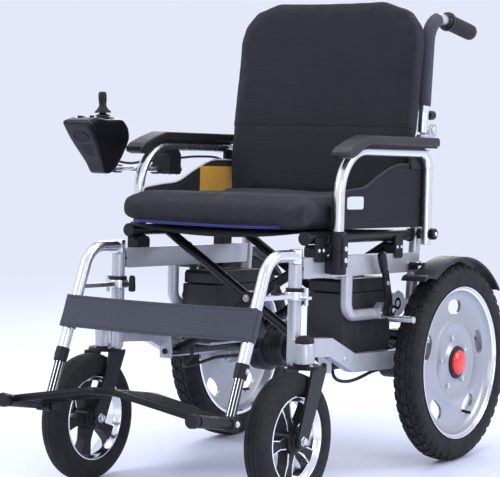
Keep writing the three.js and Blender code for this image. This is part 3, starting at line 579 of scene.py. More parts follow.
def puff(ob, voxel=0.005, cap=0.010, pressure=4.0, frames=20, sub=True, relax=2, pins=None):
    """Fills a fabric skin by cloth simulation, with the swell capped."""
    r = ob.modifiers.new("remesh", "REMESH")
    r.mode = "VOXEL"
    r.voxel_size = voxel
    r.use_smooth_shade = True
    mats = [m for m in ob.data.materials]
    baked(ob)
    me = ob.data
    me.materials.clear()
    for m in mats:
        me.materials.append(m)
    rest = [v.co.copy() for v in me.vertices]
    c = ob.modifiers.new("cloth", "CLOTH")
    s = c.settings
    s.quality = 4
    s.mass = 0.25
    s.tension_stiffness = 12
    s.compression_stiffness = 12
    s.shear_stiffness = 6
    s.bending_stiffness = 1.2
    s.use_pressure = True
    s.uniform_pressure_force = pressure
    s.effector_weights.gravity = 0
    c.collision_settings.use_collision = False
    c.point_cache.frame_start = 1
    c.point_cache.frame_end = frames
    sc = bpy.context.scene
    for fno in range(1, frames + 1):
        sc.frame_set(fno)
    dg = bpy.context.evaluated_depsgraph_get()
    ev = ob.evaluated_get(dg).to_mesh()
    now = [v.co.copy() for v in ev.vertices]
    ob.evaluated_get(dg).to_mesh_clear()
    ob.modifiers.clear()
    sc.frame_set(1)
    for v, a, b in zip(me.vertices, rest, now):
        d = b - a
        if d.length > cap:
            d = d * (cap / d.length)
        v.co = a + d
    bm = bmesh.new()
    bm.from_mesh(me)
    for _ in range(relax):
        bmesh.ops.smooth_vert(bm, verts=bm.verts, factor=0.5, use_axis_x=True, use_axis_y=True, use_axis_z=True)
    bm.to_mesh(me)
    bm.free()
    if sub:
        sb = ob.modifiers.new("sub", "SUBSURF")
        sb.levels = sb.render_levels = 1
        baked(ob)
        if mats and not len(ob.data.materials):
            for m in mats:
                ob.data.materials.append(m)
    ob.data.polygons.foreach_set("use_smooth", [True] * len(ob.data.polygons))
    return ob


def inv_W(p):
    """Row metres back to the frame's (x, u, v) mm."""
    y, z = p.y * 1000 - SHIFT, p.z * 1000 - 203
    return p.x * 1000, y * CR - z * SR, y * SR + z * CR + 203


def fit(ob, there, back, lo, hi):
    """Stretches a filled piece so that it reaches lo and hi (mm) in its own coordinates."""
    q = [there(v.co) for v in ob.data.vertices]
    a = [min(p[i] for p in q) for i in range(3)]
    b = [max(p[i] for p in q) for i in range(3)]
    for v, p in zip(ob.data.vertices, q):
        v.co = back([lo[i] + (p[i] - a[i]) / (b[i] - a[i]) * (hi[i] - lo[i]) for i in range(3)])
    ob.data.update()


SIDES = (("left", 1), ("right", -1))


def P(G, poly, a, b, r=3, axis="x", n=4):
    return G.prism(rounded(poly, r, n) if r else poly, a, b, axis)


def rect(a, b, c, d):
    return [(a, c), (b, c), (b, d), (a, d)]


# ------------------------------------------------------------------ side frames, left and right
for q, g in SIDES:
    SF = "side_frame_" + q
    G = Geo()
    G.bar((210, -502, 232), (210, -502, 418), 13, 32)
    G.lathe([(0, 0), (0, 12), (-3, 11), (-5, 8), (-5, 0)], (210, -502, 232), (0, 0, 1), 32)
    P(G, [(-489, 240), (-470, 240), (-394, 236), (-304, 199), (-50, 195), (-50, 231), (-296, 235), (-386, 272), (-470, 276), (-500, 276), (-500, 240)], 205, 225, 16, n=6)
    P(G, [(-75, 176), (-55, 168), (15, 168), (35, 188), (35, 232), (25, 240), (-75, 240)], 205.5, 225, 8)
    P(G, rect(-290, -130, 226, 232), 130, 206, 2)
    P(G, rect(-362.5, -356.5, 200, 246), 178, 206, 1)
    P(G, rect(-69.5, -63.5, 200, 228), 178, 206, 1)
    build("front_frame_body_" + q, G, SILVER, SF, g=g, rep=["front_frame_" + q], bevel=1.6)
    G = Geo()
    for u, v in ((-478, 258), (-340, 228), (-120, 214), (-60, 206), (10, 190), (12, 226), (-55, 184)):
        G.bolt((225, u, v), (1, 0, 0), 5.2, 3.2, u > -100)
    build("frame_bolts_" + q, G, STEEL, SF, g=g)
    # caster housing, upright
    G = Geo()
    G.lathe([(262, 9), (262, 17.5), (263.5, 19), (300, 19), (302, 18), (302, 9)], (238, -502, 0), (0, 0, 1), 40, loop=True)
    P(G, [(-512, 268), (-490, 268), (-490, 310), (-512, 310)], 214, 230, 2)
    G.use(1).lathe([(302.2, 9), (302.2, 18.6), (306, 18.6), (311, 16.5), (315, 11), (316, 0)], (238, -502, 0), (0, 0, 1), 32)
    G.use(1).lathe([(262, 9.2), (259, 9.2), (259, 17), (262, 18)], (238, -502, 1.6), (0, 0, 1), 32, loop=True)
    build("caster_housing_" + q, G, [SILVER, PLASTIC], SF, put=R, g=g, bevel=0.8)
    # rear frame
    G = Geo()
    P(G, rect(-488.4, -48, 389.5, 429.5), 200, 220, 7, n=5)
    G.bar((208, -61.9, 241.6), (208, -27, 671), 12, 28)
    G.tube(route([(210, -315, 392), (210, -315, 310, 28), (210, -146, 310)], 12), 11.5, 26)
    P(G, [(-150, 300), (-136, 301), (-120, 298), (-100, 306), (-92, 316), (-60, 316), (-60, 334), (-92, 335), (-100, 346), (-120, 354), (-140, 346), (-148, 330), (-150, 320)], 205, 215, 8)
    P(G, [(-215, 300), (-175, 300), (-175, 326), (-183, 332), (-203, 332), (-215, 322)], 213, 227.5, 4)
    for a, b in ((195.5, 199.7), (216.3, 220.5)):
        P(G, [(-38, 636), (-20, 636), (12, 671), (12, 694), (-10, 694), (-14, 672), (-38, 668)], a, b, 5)
    build("rear_frame_body_" + q, G, SILVER, SF, g=g, rep=["rear_frame_" + q], bevel=1.4)
    G = Geo()
    for u in (-435, -137):
        h = 20 if u < -200 else 15
        P(G, [(u - h, 429.7), (u + h, 429.7), (u + h, 446), (u + h - 5, 452), (u - h + 5, 452), (u - h, 446)], 198, 221, 3)
        P(G, rect(u - h, u + h, 420, 466), 221.3, 224.6, 6)
        G.use(1)
        G.bolt((224.6, u - 8, 442), (1, 0, 0), 4, 2.4, False)
        G.bolt((224.6, u + 8, 442), (1, 0, 0), 4, 2.4, False)
        G.use(0)
    G.lathe([(0, 0), (0, 11), (4, 12.5), (9, 12.5), (10, 11), (10, 0)], (210, -488, 409), (0, -1, 0), 4)
    G.bar((222, -54, 468), (227.4, -54, 468), 11, 26)
    G.bar((205, -54, 468), (212, -54, 468), 11, 26)
    G.lathe([(0, 6.5), (0, 14.2), (3, 14.6), (5, 13), (5, 6.5)], (210, -120, 326), (1, 0, 0), 30, loop=True)
    build("saddles_" + q, G, [PLASTIC, STEEL], SF, g=g, bevel=1.0)
    # bolts where the post meets the rail, and along the rails
    G = Geo()
    for u, v in ((-350, 409), (-90, 409), (-20, 640), (-32, 652), (-205, 312), (-185, 312)):
        G.bolt((220 if v != 312 else 227.5, u, v), (1, 0, 0), 4.6, 2.8, v < 600)
    build("rail_bolts_" + q, G, STEEL, SF, g=g)
    # armrest socket
    G = Geo()
    G.lathe([(396, 12.8), (396, 15.5), (397.5, 17), (438, 17), (440, 15.6), (442, 17), (476, 17), (479, 15), (479, 12.8)], (240, -400, 0), (0, 0, 1), 36, loop=True)
    P(G, rect(-415, -385, 397, 428.5), 220.6, 240, 4)
    P(G, [(-409, 410), (-391, 410), (-391, 468), (-395, 472), (-405, 472), (-409, 468)], 250, 257.5, 3)
    G.use(1)
    for v in (424, 446):
        G.bolt((257.5, -400, v), (1, 0, 0), 5.4, 3.2, False)
    build("socket_" + q, G, [PLASTIC, STEEL], SF, g=g, rep=["armrest_socket_" + q], bevel=1.0)
    # motor
    G = Geo()
    G.lathe([(110, 0), (110, 28), (112, 30), (120, 30), (121, 41), (123, 43), (128, 43), (128.5, 41.5), (133, 41.5), (133.5, 43), (138, 43), (138.5, 41.5), (143, 41.5), (143.5, 43), (148, 43), (148.5, 41.5), (153, 41.5), (153.5, 43), (164, 43), (166, 50), (168, 52), (176, 52), (176.5, 50.6), (179, 50.6), (179.5, 52), (202, 52), (204.4, 50), (204.4, 0)], (0, 0, 203), (1, 0, 0), 56)
    G.bar((204.4, 0, 203), (258, 0, 203), 8.5, 20)
    P(G, rect(-14, 22, 246, 262), 130, 158, 4)
    G.use(1)
    for k in range(6):
        t = k * pi / 3 + 0.3
        G.bolt((202, 40 * cos(t), 203 + 40 * sin(t)), (1, 0, 0), 3.4, 3.0, True)
    build("motor_" + q, G, [MOTORM, STEEL], SF, g=g, rep=["drive_motor_" + q], bevel=0.5)
    # battery
    bo = [(-300, 237), (-296, 233.2), (-122, 233.2), (-118, 237), (-118, 352), (-120, 354), (-120, 374), (-126, 380), (-292, 380), (-298, 374), (-298, 354), (-300, 352)]
    G = Geo()
    P(G, bo[:5] + [(-300, 352)][:1], 110, 196, 3)
    P(G, [(-298, 353), (-120, 353), (-120, 374), (-126, 380), (-292, 380), (-298, 374)], 112, 194, 4)
    for u in (-270, -240, -210, -180, -150):
        P(G, rect(u - 5, u + 5, 262, 336), 194, 196.8, 2)
    P(G, rect(-242, -176, 376, 382.5), 138, 168, 3)
    build("battery_" + q, G, BATT, SF, g=g, rep=["battery_box_" + q], bevel=1.8)
    # fender: a pressed band over the tyre with a rolled outer edge and an inner skirt
    G = Geo()
    n = 44
    sec = [(248.2, 214.2), (248.2, 217.6), (250, 219.0), (300, 219.0), (302.8, 217.2), (302.8, 212), (299.4, 212), (299.4, 214.6), (252, 214.6), (251.2, 207.0), (248.2, 207.0)]
    vs, fs = [], []
    for i in range(n + 1):
        t = rad(42 + (124 - 42) * i / n)
        for x, rr in sec:
            vs.append((x, rr * cos(t), 203 + rr * sin(t)))
    m = len(sec)
    for i in range(n):
        for k in range(m):
            fs.append([i * m + k, i * m + (k + 1) % m, (i + 1) * m + (k + 1) % m, (i + 1) * m + k])
    fs += [list(range(m)), [n * m + k for k in range(m)][::-1]]
    G.add(vs, fs)
    P(G, [(-120, 380), (-122.5, 385), (-150, 389), (-161, 386), (-167, 381), (-168, 376), (-164, 377), (-150, 383.4)], 248.4, 302.8, 1)
    P(G, rect(-92, -58, 403.5, 409.5), 220.6, 252, 2)
    P(G, rect(-92, -58, 394, 409.5), 220.6, 223.6, 2)
    G.use(1)
    for u in (-84, -66):
        G.bolt((236, u, 409.5), (0, 0, 1), 4.4, 2.8, False)
    fend = build("fender_shell_" + q, G, [FENDM, STEEL], SF, g=g, rep=["fender_" + q], bevel=0.8)

    # rear wheel
    WB = "wheel_" + q
    G = Geo()
    G.lathe([(-10, 157.7), (-22, 159), (-25.5, 164), (-26.8, 172), (-26.9, 182), (-25, 191), (-21.5, 196.5), (-16, 199), (0, 200), (16, 199), (21.5, 196.5), (25, 191), (26.9, 182), (26.8, 172), (25.5, 168), (26.2, 166), (25.5, 164), (22, 159), (10, 157.7)], (276, 0, 203), (1, 0, 0), 112, loop=True)
    NB = 46
    def at(x, rr, t):
        return (276 + x, rr * sin(t), 203 + rr * cos(t))
    def block(x0, x1, t0, t1, skew, lo, hi0, hi1):
        c = []
        for rr, sh in ((lo, 0), (1, 0.0016)):
            for x, t, hh in ((x0, t0 + sh, hi0), (x1, t0 + skew + sh, hi1), (x1, t1 + skew - sh, hi1), (x0, t1 - sh, hi0)):
                c.append(at(x, lo if rr == lo else hh, t))
        G.add(c, [[3, 2, 1, 0], [4, 5, 6, 7], [0, 1, 5, 4], [1, 2, 6, 5], [2, 3, 7, 6], [3, 0, 4, 7]])
    st = 2 * pi / NB
    for i in range(NB):
        t = i * st
        block(-6.5, 6.5, t, t + st * 0.66, 0.02, 197.5, 202.9, 202.9)
        block(8.5, 17.5, t + st * 0.35, t + st * 1.0, 0.012, 196.5, 202.7, 201.2)
        block(-17.5, -8.5, t + st * 0.35, t + st * 1.0, -0.012, 196.5, 201.2, 202.7)
        block(19.0, 25.2, t, t + st * 0.62, 0.008, 188, 199.8, 194.5)
        block(-25.2, -19.0, t, t + st * 0.62, -0.008, 188, 194.5, 199.8)
    build("rear_tyre_tread_" + q, G, RUBBER, WB, g=g, rep=["rear_tyre_" + q])
    G = Geo()
    G.lathe([(24, 157.4), (24.4, 155.8), (23, 154.2), (20.5, 153.4), (19.8, 150.6), (18.4, 149), (14.5, 147.4), (10, 143.5), (6.6, 138), (5.2, 131), (5.0, 92), (7.4, 87), (9.2, 81), (9.2, 75), (7, 70.5), (5.6, 64), (5.8, 44), (9.6, 38), (12.6, 35), (14, 32), (14, 9), (-14, 9), (-14, 33), (-8, 37), (-1, 44), (-1, 70), (1.4, 77), (-1, 88), (-1.4, 132), (-7, 144), (-18, 149.5), (-24, 152), (-24, 157.4)], (276, 0, 203), (1, 0, 0), 120, loop=True)
    rim = build("rear_rim_disc_" + q, G, [WHEEL, POLISH], WB, g=g, rep=["rear_rim_" + q])
    C = Geo()
    for a in (90, 162, 234, 306, 18):
        t = rad(a)
        cx, cy = 115 * cos(t), 203 + 115 * sin(t)
        e1, e2 = (-sin(t), cos(t)), (cos(t), sin(t))
        pl = []
        for k in range(28):
            s = 2 * pi * k / 28
            aa, bb = 27 * abs(cos(s)) ** 0.85 * (1 if cos(s) > 0 else -1), 15.5 * abs(sin(s)) ** 0.85 * (1 if sin(s) > 0 else -1)
            pl.append((cx + e1[0] * aa + e2[0] * bb, cy + e1[1] * aa + e2[1] * bb))
        C.prism(pl, 262, 294)
    cut_with(rim, C, g=g)
    for p in rim.data.polygons:
        c = p.center * 1000
        rr = math.hypot(c.y - SHIFT, c.z - 203)
        if rr > 148.6:
            p.material_index = 1
    bv = rim.modifiers.new("edge", "BEVEL")
    bv.width = 0.0009
    bv.segments = 2
    bv.limit_method = "ANGLE"
    bv.angle_limit = rad(60)
    G = Geo()
    G.lathe([(282, 34), (290.6, 34), (293, 31.5), (293, 20), (282, 20)], (0, 0, 203), (1, 0, 0), 44, loop=True)
    G.bar((268, 62, 96), (291, 66, 92), 3.2, 14)
    G.use(1)
    for k in range(5):
        t = 2 * pi * k / 5 + 0.5
        G.bolt((282.0, 52 * cos(t), 203 + 52 * sin(t)), (1, 0, 0), 6.4, 4.6, True)
    G.use(2)
    G.lathe([(292.9, 0), (292.9, 26.5), (296.5, 26), (301.2, 21.5), (302.6, 17), (302.6, 0)], (0, 0, 203), (1, 0, 0), 10)
    build("hub_cap_red_" + q, G, [PLASTIC, STEEL, RED], WB, g=g, rep=["hub_cap_" + q], bevel=0.7)

    # caster fork, upright
    CB = "caster_" + q
    G = Geo()
    lobes = []
    for k in range(40):
        t = 2 * pi * k / 40
        lobes.append((238 + 32.6 * (abs(cos(t)) ** 0.7) * (1 if cos(t) > 0 else -1), -502 + 25 * (abs(sin(t)) ** 0.7) * (1 if sin(t) > 0 else -1)))
    G.prism(lobes, 253.5, 260.6, "z")
    leg = [(-476, 254.5), (-478, 247), (-547, 117), (-554, 112.5), (-561, 111), (-568, 112.5), (-574, 117.5), (-576.5, 127), (-574, 137), (-527, 250), (-527, 254.5)]
    for a, b in ((205, 210.8), (265.2, 271)):
        P(G, leg, a, b, 6)
    G.bar((202, -561, 127), (274, -561, 127), 5, 18)
    G.bar((238, -502, 258), (238, -502, 300), 8, 18)
    G.use(1)
    for x in (216, 260):
        for y in (-514, -490):
            G.bolt((x, y, 260.6), (0, 0, 1), 3.8, 2.6, True)
    G.lathe([(0, 0), (0, 10), (2, 10), (2, 8), (7, 7.4), (8, 5), (8, 0)], (270.8, -561, 127), (1, 0, 0), 6)
    G.lathe([(0, 0), (0, 10), (2, 10), (2, 8), (7, 7.4), (8, 5), (8, 0)], (205.2, -561, 127), (-1, 0, 0), 6)
    build("fork_" + q, G, [BLACKP, STEEL], CB, put=R, g=g, rep=["caster_fork_" + q], bevel=1.4)
    CW = "caster_wheel_" + q
    G = Geo()
    G.lathe([(-10, 85.1), (-19, 86), (-22, 91), (-22.9, 100), (-22.6, 110), (-20, 118.5), (-15, 123.5), (-13.6, 123.4), (-12.6, 124.6), (-6, 126.6), (-5, 125.2), (-3.8, 126.8), (0, 127), (3.8, 126.8), (5, 125.2), (6, 126.6), (12.6, 124.6), (13.6, 123.4), (15, 123.5), (20, 118.5), (22.6, 110), (22.9, 100), (22, 91), (19, 86), (10, 85.1)], (238, -561, 127), (1, 0, 0), 96, loop=True)
    build("caster_tyre_body_" + q, G, RUBBER, CW, put=R, g=g, rep=["caster_tyre_" + q], ang=50)
    G = Geo()
    G.lathe([(-20, 84.8), (-20.4, 82), (-18, 79.5), (-14, 78), (-9, 73.4), (9, 73.4), (14, 78), (18, 79.5), (20.4, 82), (20, 84.8)], (238, -561, 127), (1, 0, 0), 88, loop=True)
    G.use(1)
    G.lathe([(-24, 5.3), (-24, 15), (-22, 17), (-17, 17.5), (-15, 24), (15, 24), (17, 17.5), (22, 17), (24, 15), (24, 5.3)], (238, -561, 127), (1, 0, 0), 40, loop=True)
    for k in range(5):
        t = rad(90 + 72 * k + 20)
        e1, e2 = Vector((0, cos(t), sin(t))), Vector((0, -sin(t), cos(t)))
        o = Vector((0, -561, 127))
        pl = []
        for a, b in ((20, -13), (46, -9), (70, -14), (75, -16), (75, 16), (70, 14), (46, 9), (20, 13)):
            w = o + e1 * a + e2 * b
            pl.append((w.y, w.z))
        G.use(1).prism(rounded(pl, 4, 3), 227, 249)
        for s in (-1, 1):
            pl = []
            for a, b in ((26, 12.2 * s), (46, 9.2 * s), (70, 14 * s), (74, 15 * s), (74, 12 * s), (69, 11.4 * s), (46, 6.6 * s), (26, 9.6 * s)):
                w = o + e1 * a + e2 * b
                pl.append((w.y, w.z))
            G.use(0).prism(pl, 248.6, 250.4)
    build("caster_rim_body_" + q, G, [POLISH, PLASTIC], CW, put=R, g=g, rep=["caster_rim_" + q], bevel=0.7)

    # crossing brace (its own body each)
    other = -1 if q == "left" else 1
    G = Geo()
    u0, u1 = (-345, -81) if q == "left" else (-322, -104)
    G.bar((192, -356, 214), (192, -70, 214), 10, 22)
    G.bar((192, -366, 214), (192, -356, 214), 6, 16)
    G.bar((192, -70, 214), (192, -60, 214), 6, 16)
    for u in (u0, u1):
        G.bar((192, u, 214), (-209, u, 465), 10, 22)
        d = Vector((-401, 0, 251)).normalized()
        G.bar((0, u - 9, 334.2), (0, u + 9, 334.2), 15, 26)
    G.bar((-209, -470, 465), (-209, -72, 465), 11, 26)
    G.use(1)
    G.lathe([(0, 0), (0, 12.5), (1.5, 13.5), (5, 13.5), (6, 12.5), (6, 0)], (-209, -474, 465), (0, 1, 0), 28)
    G.lathe([(0, 0), (0, 12.5), (1.5, 13.5), (4, 13.5), (5, 12.5), (5, 0)], (-209, -75, 465), (0, 1, 0), 28)
    G.use(2)
    for u in (u0, u1):
        for s in (-1, 1):
            if q == "left" or True:
                G.bolt((0, u + 9.2 * s, 334.2), (0, s, 0), 6, 3, True)
    if q == "left":
        for u in (u0, u1):
            s = 1 if u < -200 else -1
            G.bar((0, u, 334.2), (0, u + 36 * s, 334.2), 5, 16)
    build("brace_tubes_" + q, G, [BLACKP, PLASTIC, STEEL], "brace_" + q, g=g, rep=["cross_brace_" + q], bevel=0)


def from_node(node, name, mats, body, bevel=1.0, ang=35, extra=None, angle=1.0):
    """A finer copy of a CAD node: flat areas joined up and the edges rounded."""
    src = frame["nodes"][node]
    src = bpy.data.objects[src] if isinstance(src, str) else src
    bm = bmesh.new()
    bm.from_mesh(src.data)
    bmesh.ops.remove_doubles(bm, verts=bm.verts, dist=2e-6)
    bmesh.ops.dissolve_limit(bm, angle_limit=rad(angle), verts=bm.verts, edges=bm.edges)
    bmesh.ops.recalc_face_normals(bm, faces=bm.faces)
    me = bpy.data.meshes.new(name)
    bm.to_mesh(me)
    bm.free()
    me.materials.clear()
    for m in (mats if isinstance(mats, (list, tuple)) else [mats]):
        me.materials.append(m)
    me.polygons.foreach_set("material_index", [0] * len(me.polygons))
    me.polygons.foreach_set("use_smooth", [True] * len(me.polygons))
    me.set_sharp_from_angle(angle=rad(ang))
    ob = bpy.data.objects.new(name, me)
    bpy.context.scene.collection.objects.link(ob)
    if bevel:
        b = ob.modifiers.new("edge", "BEVEL")
        b.width = bevel / 1000
        b.segments = 3
        b.limit_method = "ANGLE"
        b.angle_limit = rad(40)
        b.harden_normals = True
    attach(ob, body)
    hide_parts(node)
    ALL[name] = ob
    return ob


GUARD_TOP = [(-405, 540), (-396, 550), (-340, 557), (-285, 563), (-231, 585), (-177, 604), (-140, 609), (-67, 607.6), (-50, 600)]
for q, g in SIDES:
    AB = "armrest_" + q
    G = Geo()
    G.tube(route([(240, -400, 452), (240, -400, 635, 90), (240, -56, 635, 38), (240, -56, 446)], 16), 11, 28)
    G.bar((207, -54, 468), (248, -54, 468), 5, 18)
    G.use(1)
    G.lathe([(0, 0), (0, 10), (1.5, 12), (12, 12), (14, 10), (14, 0)], (248, -54, 468), (1, 0, 0), 9)
    P(G, rect(-112, -66, 600, 629), 225.6, 233, 5)
    G.use(0)
    G.bolt((262, -54, 468), (1, 0, 0), 5, 2.6, False)
    if q == "right":
        G.use(1)
        P(G, [(-310, 577), (-270, 577), (-270, 618), (-279, 629), (-301, 629), (-310, 618)], 229.8, 275, 5)
        G.use(0)
        for x in (236, 268):
            for u in (-303, -277):
                G.bolt((x, u, 577.2), (0, 0, -1), 3.2, 2, False)
    build("armrest_frame_" + q, G, [BRIGHT, PLASTIC], AB, g=g, rep=["armrest_tube_" + q], bevel=0.8)
    G = Geo()
    P(G, [(-55, 646.8), (-330, 646.8), (-350, 640.3), (-370, 629.3), (-396, 618), (-412, 622), (-413, 632), (-400, 641), (-368, 653), (-325, 665), (-60, 665), (-55, 660)], 226.3, 268, 5, n=5)
    pad = build("armrest_cover_" + q, G, VINYL, AB, g=g, rep=["armrest_pad_" + q], ang=55)
    bv = pad.modifiers.new("edge", "BEVEL")
    bv.width, bv.segments, bv.limit_method, bv.angle_limit = 0.0052, 5, "ANGLE", rad(60)
    G = Geo()
    G.tube([(229.6 + 0, -60, 647.2), (229.6, -200, 647.2), (229.6, -328, 647.2)], 0.8, 8)
    P(G, rect(-330, -60, 643.2, 647.2), 230, 264, 2)
    for u in (-90, -200, -310):
        G.bolt((247, u, 643.2), (0, 0, -1), 4, 2.4, False)
    build("armrest_base_" + q, G, PLASTIC, AB, g=g)
    # skirt guard: stiff panel in a sewn cover, piped along its top edge
    G = Geo()
    out = [(-405, 482), (-50, 482), (-50, 600)] + GUARD_TOP[::-1][1:]
    P(G, out, 225.1, 228.4, 5)
    gd = build("guard_panel_" + q, G, GUARDF, AB, g=g, rep=["skirt_guard_" + q], bevel=0.9)
    line = smooth_line([(226.8, u, v) for u, v in GUARD_TOP], 8)
    G = Geo()
    G.tube(line, 2.1, 12)
    # the right piping is coloured pale as a painted highlight where light falls on its top edge; the left piping takes
    # the dark thread colour
    build("guard_piping_" + q, G, THREAD if q == "left" else PRINT_AND_PAINTED_HIGHLIGHT, AB, g=g)
    G = Geo()
    seam = smooth_line([(228.8, u + (6 if u < -300 else 0), v - 11) for u, v in GUARD_TOP[1:-1]], 6)
    G.tube(seam, 0.55, 8)
    G.tube([(228.8, -396, 492), (228.8, -230, 492), (228.8, -62, 492)], 0.55, 8)
    seam = smooth_line([(224.8, u + (6 if u < -300 else 0), v - 11) for u, v in GUARD_TOP[1:-1]], 6)
    G.tube(seam, 0.55, 8)
    build("guard_seams_" + q, G, THREAD, AB, g=g)
    G = Geo()
    for u in (-395, -62):
        for v in (500, 530):
            P(G, rect(u - 6, u + 6, v - 9, v + 9), 228.4, 232, 3)
    build("guard_clips_" + q, G, PLASTIC, AB, g=g, bevel=0.6)
    G = Geo()
    if q == "left":
        P(G, rect(-352, -290, 520, 545), 228.3, 229.1, 6)
        build("guard_patch_left", G, PRINT_AND_PAINTED_HIGHLIGHT, AB, g=g, bevel=0.3)
    else:
        P(G, rect(-207, -83, 538, 595), 224.0, 225.2, 6)
        build("guard_patch_right", G, AMBER, AB, g=g, bevel=0.3)

    # leg rest hanger
    LB = "legrest_" + q
    G = Geo()
    G.lathe([(418.5, 8.5), (418.5, 12.4), (419.5, 13), (443, 13), (445.4, 11.6), (446, 9), (446, 0), (418.5, 0)], (210, -502, 0), (0, 0, 1), 34)
    G.tube(route([(210, -502, 433.5), (210, -594.4, 434, 55), (210, -680, 216)], 16), 11.5, 28)
    P(G, rect(-622, -516, 353.5, 361.5), 202, 218, 3)
    G.lathe([(350, 13.4), (350, 19), (351, 20), (365, 20), (366, 19), (366, 13.4)], (210, -502, 0), (0, 0, 1), 36, loop=True)
    P(G, [(-512, 352), (-492, 352), (-492, 358), (-512, 358)], 222, 242, 1)
    G.bar((236, -502, 340), (236, -502, 374), 4, 16)
    build("hanger_tube_" + q, G, BRIGHT, LB, g=g, rep=["hanger_" + q], bevel=0.9)
    G = Geo()
    P(G, rect(-512, -500, 354, 362), 170, 194, 2)
    G.lathe([(344, 0), (344, 5), (346, 7), (352, 7.2), (372, 6.2), (376, 4), (376, 0)], (172, -506, 0), (0, 0, 1), 24)
    G.lathe([(366.2, 13.6), (366.2, 17.6), (372, 17.6), (373.2, 16.4), (373.2, 13.6)], (210, -502, 0), (0, 0, 1), 34, loop=True)
    e0 = (-680, 216)
    ld = (-0.3655, -0.9308)
    L_ = lambda d: (210, e0[0] + ld[0] * d, e0[1] + ld[1] * d)
    G.tube([L_(-26), L_(-12), L_(2)], [13.2, 13.2, 12.6], 30)
    G.use(1).bolt((223, L_(-13)[1], L_(-13)[2]), (1, 0, 0), 4.6, 3, True)
    build("hanger_fittings_" + q, G, [PLASTIC, STEEL], LB, g=g, bevel=0.7)
    FB = "foot_" + q
    G = Geo()
    n = 30
    b0 = len(G.f)
    G.tube([L_(-60), L_(0), L_(84)], 9.9, section=[1.0, 1.0, 0.93] * 10, soft=0)
    for k in range(b0, len(G.f)):
        f = G.f[k]
        if len(f) == 4 and (f[0] % n) % 3 != 0:
            G.m[k] = 1
    G.use(1)
    P(G, [(-726, 122), (-698, 122), (-698, 150), (-726, 150)], 198, 229.6, 6)
    G.lathe([(0, 0), (0, 10), (2, 12), (9, 12), (11, 10), (11, 0)], (196.5, -712, 136), (-1, 0, 0), 8)
    G.lathe([(-2, 6.5), (-2, 13), (0, 13.5), (10, 13.5), (12, 12), (12, 0)], (217, -829, 151.7), (0, -0.991, 0.133), 26)
    G.bar((217, -712, 136), (217, -831, 152), 7, 20)
    G.use(0).bolt((229.6, -712, 136), (1, 0, 0), 5, 3, True)
    build("foot_post_" + q, G, [BRIGHT, PLASTIC], FB, g=g, rep=["foot_tube_" + q], bevel=0.6)
    from_node("footplate_" + q, "footplate_body_" + q, BLACKP, "plate_" + q, 1.2)
    # raised treads on the plate's top
    Rx = Matrix.Rotation(math.radians(-7.66), 3, "X")
    lo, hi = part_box("footplate_" + q)
    best = None
    for sg in (1, -1):
        Ry = Matrix.Rotation(math.radians(9.5 * sg), 3, "Y")
        z = [W(Vector((217, -712, 136)) + Rx @ (Ry @ Vector(p))).z for p in ((-197, -102, -4), (-197, 12, 9), (0, -110, 9), (0, -17, -12), (-196, -104, -4))]
        e = abs(min(z) - lo.z) + abs(max(z) - hi.z)
        if best is None or e < best[0]:
            best = (e, Ry)
    Ry = best[1]
    G = Geo()
    for k in range(9):
        y = -98 + k * 11.5
        a, b = -186, -16
        if y > -14:
            continue
        P(G, rect(a, b, y - 1.6, y + 1.6), 8.8, 10.4, 1, axis="z")
    build("footplate_treads_" + q, G, PLASTIC, "plate_" + q, g=g, pre=lambda p: Vector((217, -712, 136)) + Rx @ (Ry @ Vector(p)), bevel=0.4)

    # cane, sleeve, grip, latch
    KB = "back_" + q
    cane = route([(208, -26.4, 675.5), (208, -9, 923.6, 55), (208, 167, 895.5)], 18)
    G = Geo()
    G.tube(cane, 11, 28)
    G.bar((200.2, -2, 682), (215.8, -2, 682), 11, 26)
    P(G, rect(-26, -2, 676, 692), 203, 213, 2)
    G.bar((192, -2, 682), (222, -2, 682), 4, 16)
    G.lathe([(0, 0), (0, 7), (1, 8), (4.4, 8), (5.4, 6.5), (5.4, 0)], (194.4, -2, 682), (-1, 0, 0), 6)
    G.lathe([(0, 0), (0, 8), (3, 8), (3.8, 6.5), (3.8, 0)], (220.9, -2, 682), (1, 0, 0), 6)
    a = Vector((208, -23.5, 716.5))
    b = Vector((208, -22.6, 729.5))
    G.tube([a, a.lerp(b, 0.4), b], [11.4, 12.2, 14.6], 30)
    build("cane_tube_" + q, G, BRIGHT, KB, g=g, rep=["back_cane_" + q], bevel=0.5)
    G = Geo()
    top = [p for p in cane if 731 < p.z < 917 and p.y < 30]
    base = [Vector((208, -22.4, 731))]
    top = [p for p in top if p.z > 735]
    cols = [base[0]] + ([base[0].lerp(top[0], k / 6) for k in range(1, 6)] if top else []) + top
    G.tube(cols, [14.4 + 0.35 * sin(3.1 * k) for k in range(len(cols))], 30, soft=1.5)
    build("cane_sleeve_" + q, G, WEBF, KB, g=g, ang=60)
    G = Geo()
    A, B = Vector((208, 66, 911.7)), Vector((208, 172, 894.7))
    pts, rr = [], []
    prof = [(0, 20.5), (0.035, 21), (0.06, 17.8)]
    for k in range(13):
        s = 0.09 + k * 0.064
        prof += [(s, 17.3), (s + 0.014, 17.3), (s + 0.018, 15.9), (s + 0.044, 15.9), (s + 0.048, 17.3)]
    prof += [(0.935, 17.4), (0.985, 17.0), (1.0, 14)]
    for s, r0 in prof:
        pts.append(A.lerp(B, s))
        rr.append(r0 * 0.98)
    G.tube(pts, rr, 32, soft=0)
    d = (B - A).normalized()
    G.use(1).tube([A - d * 9, A - d * 4, A - d * 0.1], [12.8, 15, 16], 28, soft=0.5)
    build("grip_body_" + q, G, [GRIPR, PLASTIC], KB, g=g, rep=["push_grip_" + q], ang=50)
    G = Geo()
    G.bar((208, -22, 712.6), (208, -6, 712.6), 3, 14)
    G.lathe([(0, 0), (0, 8), (2, 9.8), (12, 10), (20, 10), (23, 8.5), (24, 6), (24, 0)], (208, -6, 712.6), (0, 1, 0), 12)
    build("latch_knob_" + q, G, PLASTIC, "latch_" + q, g=g, rep=["back_latch_" + q], bevel=0.6)
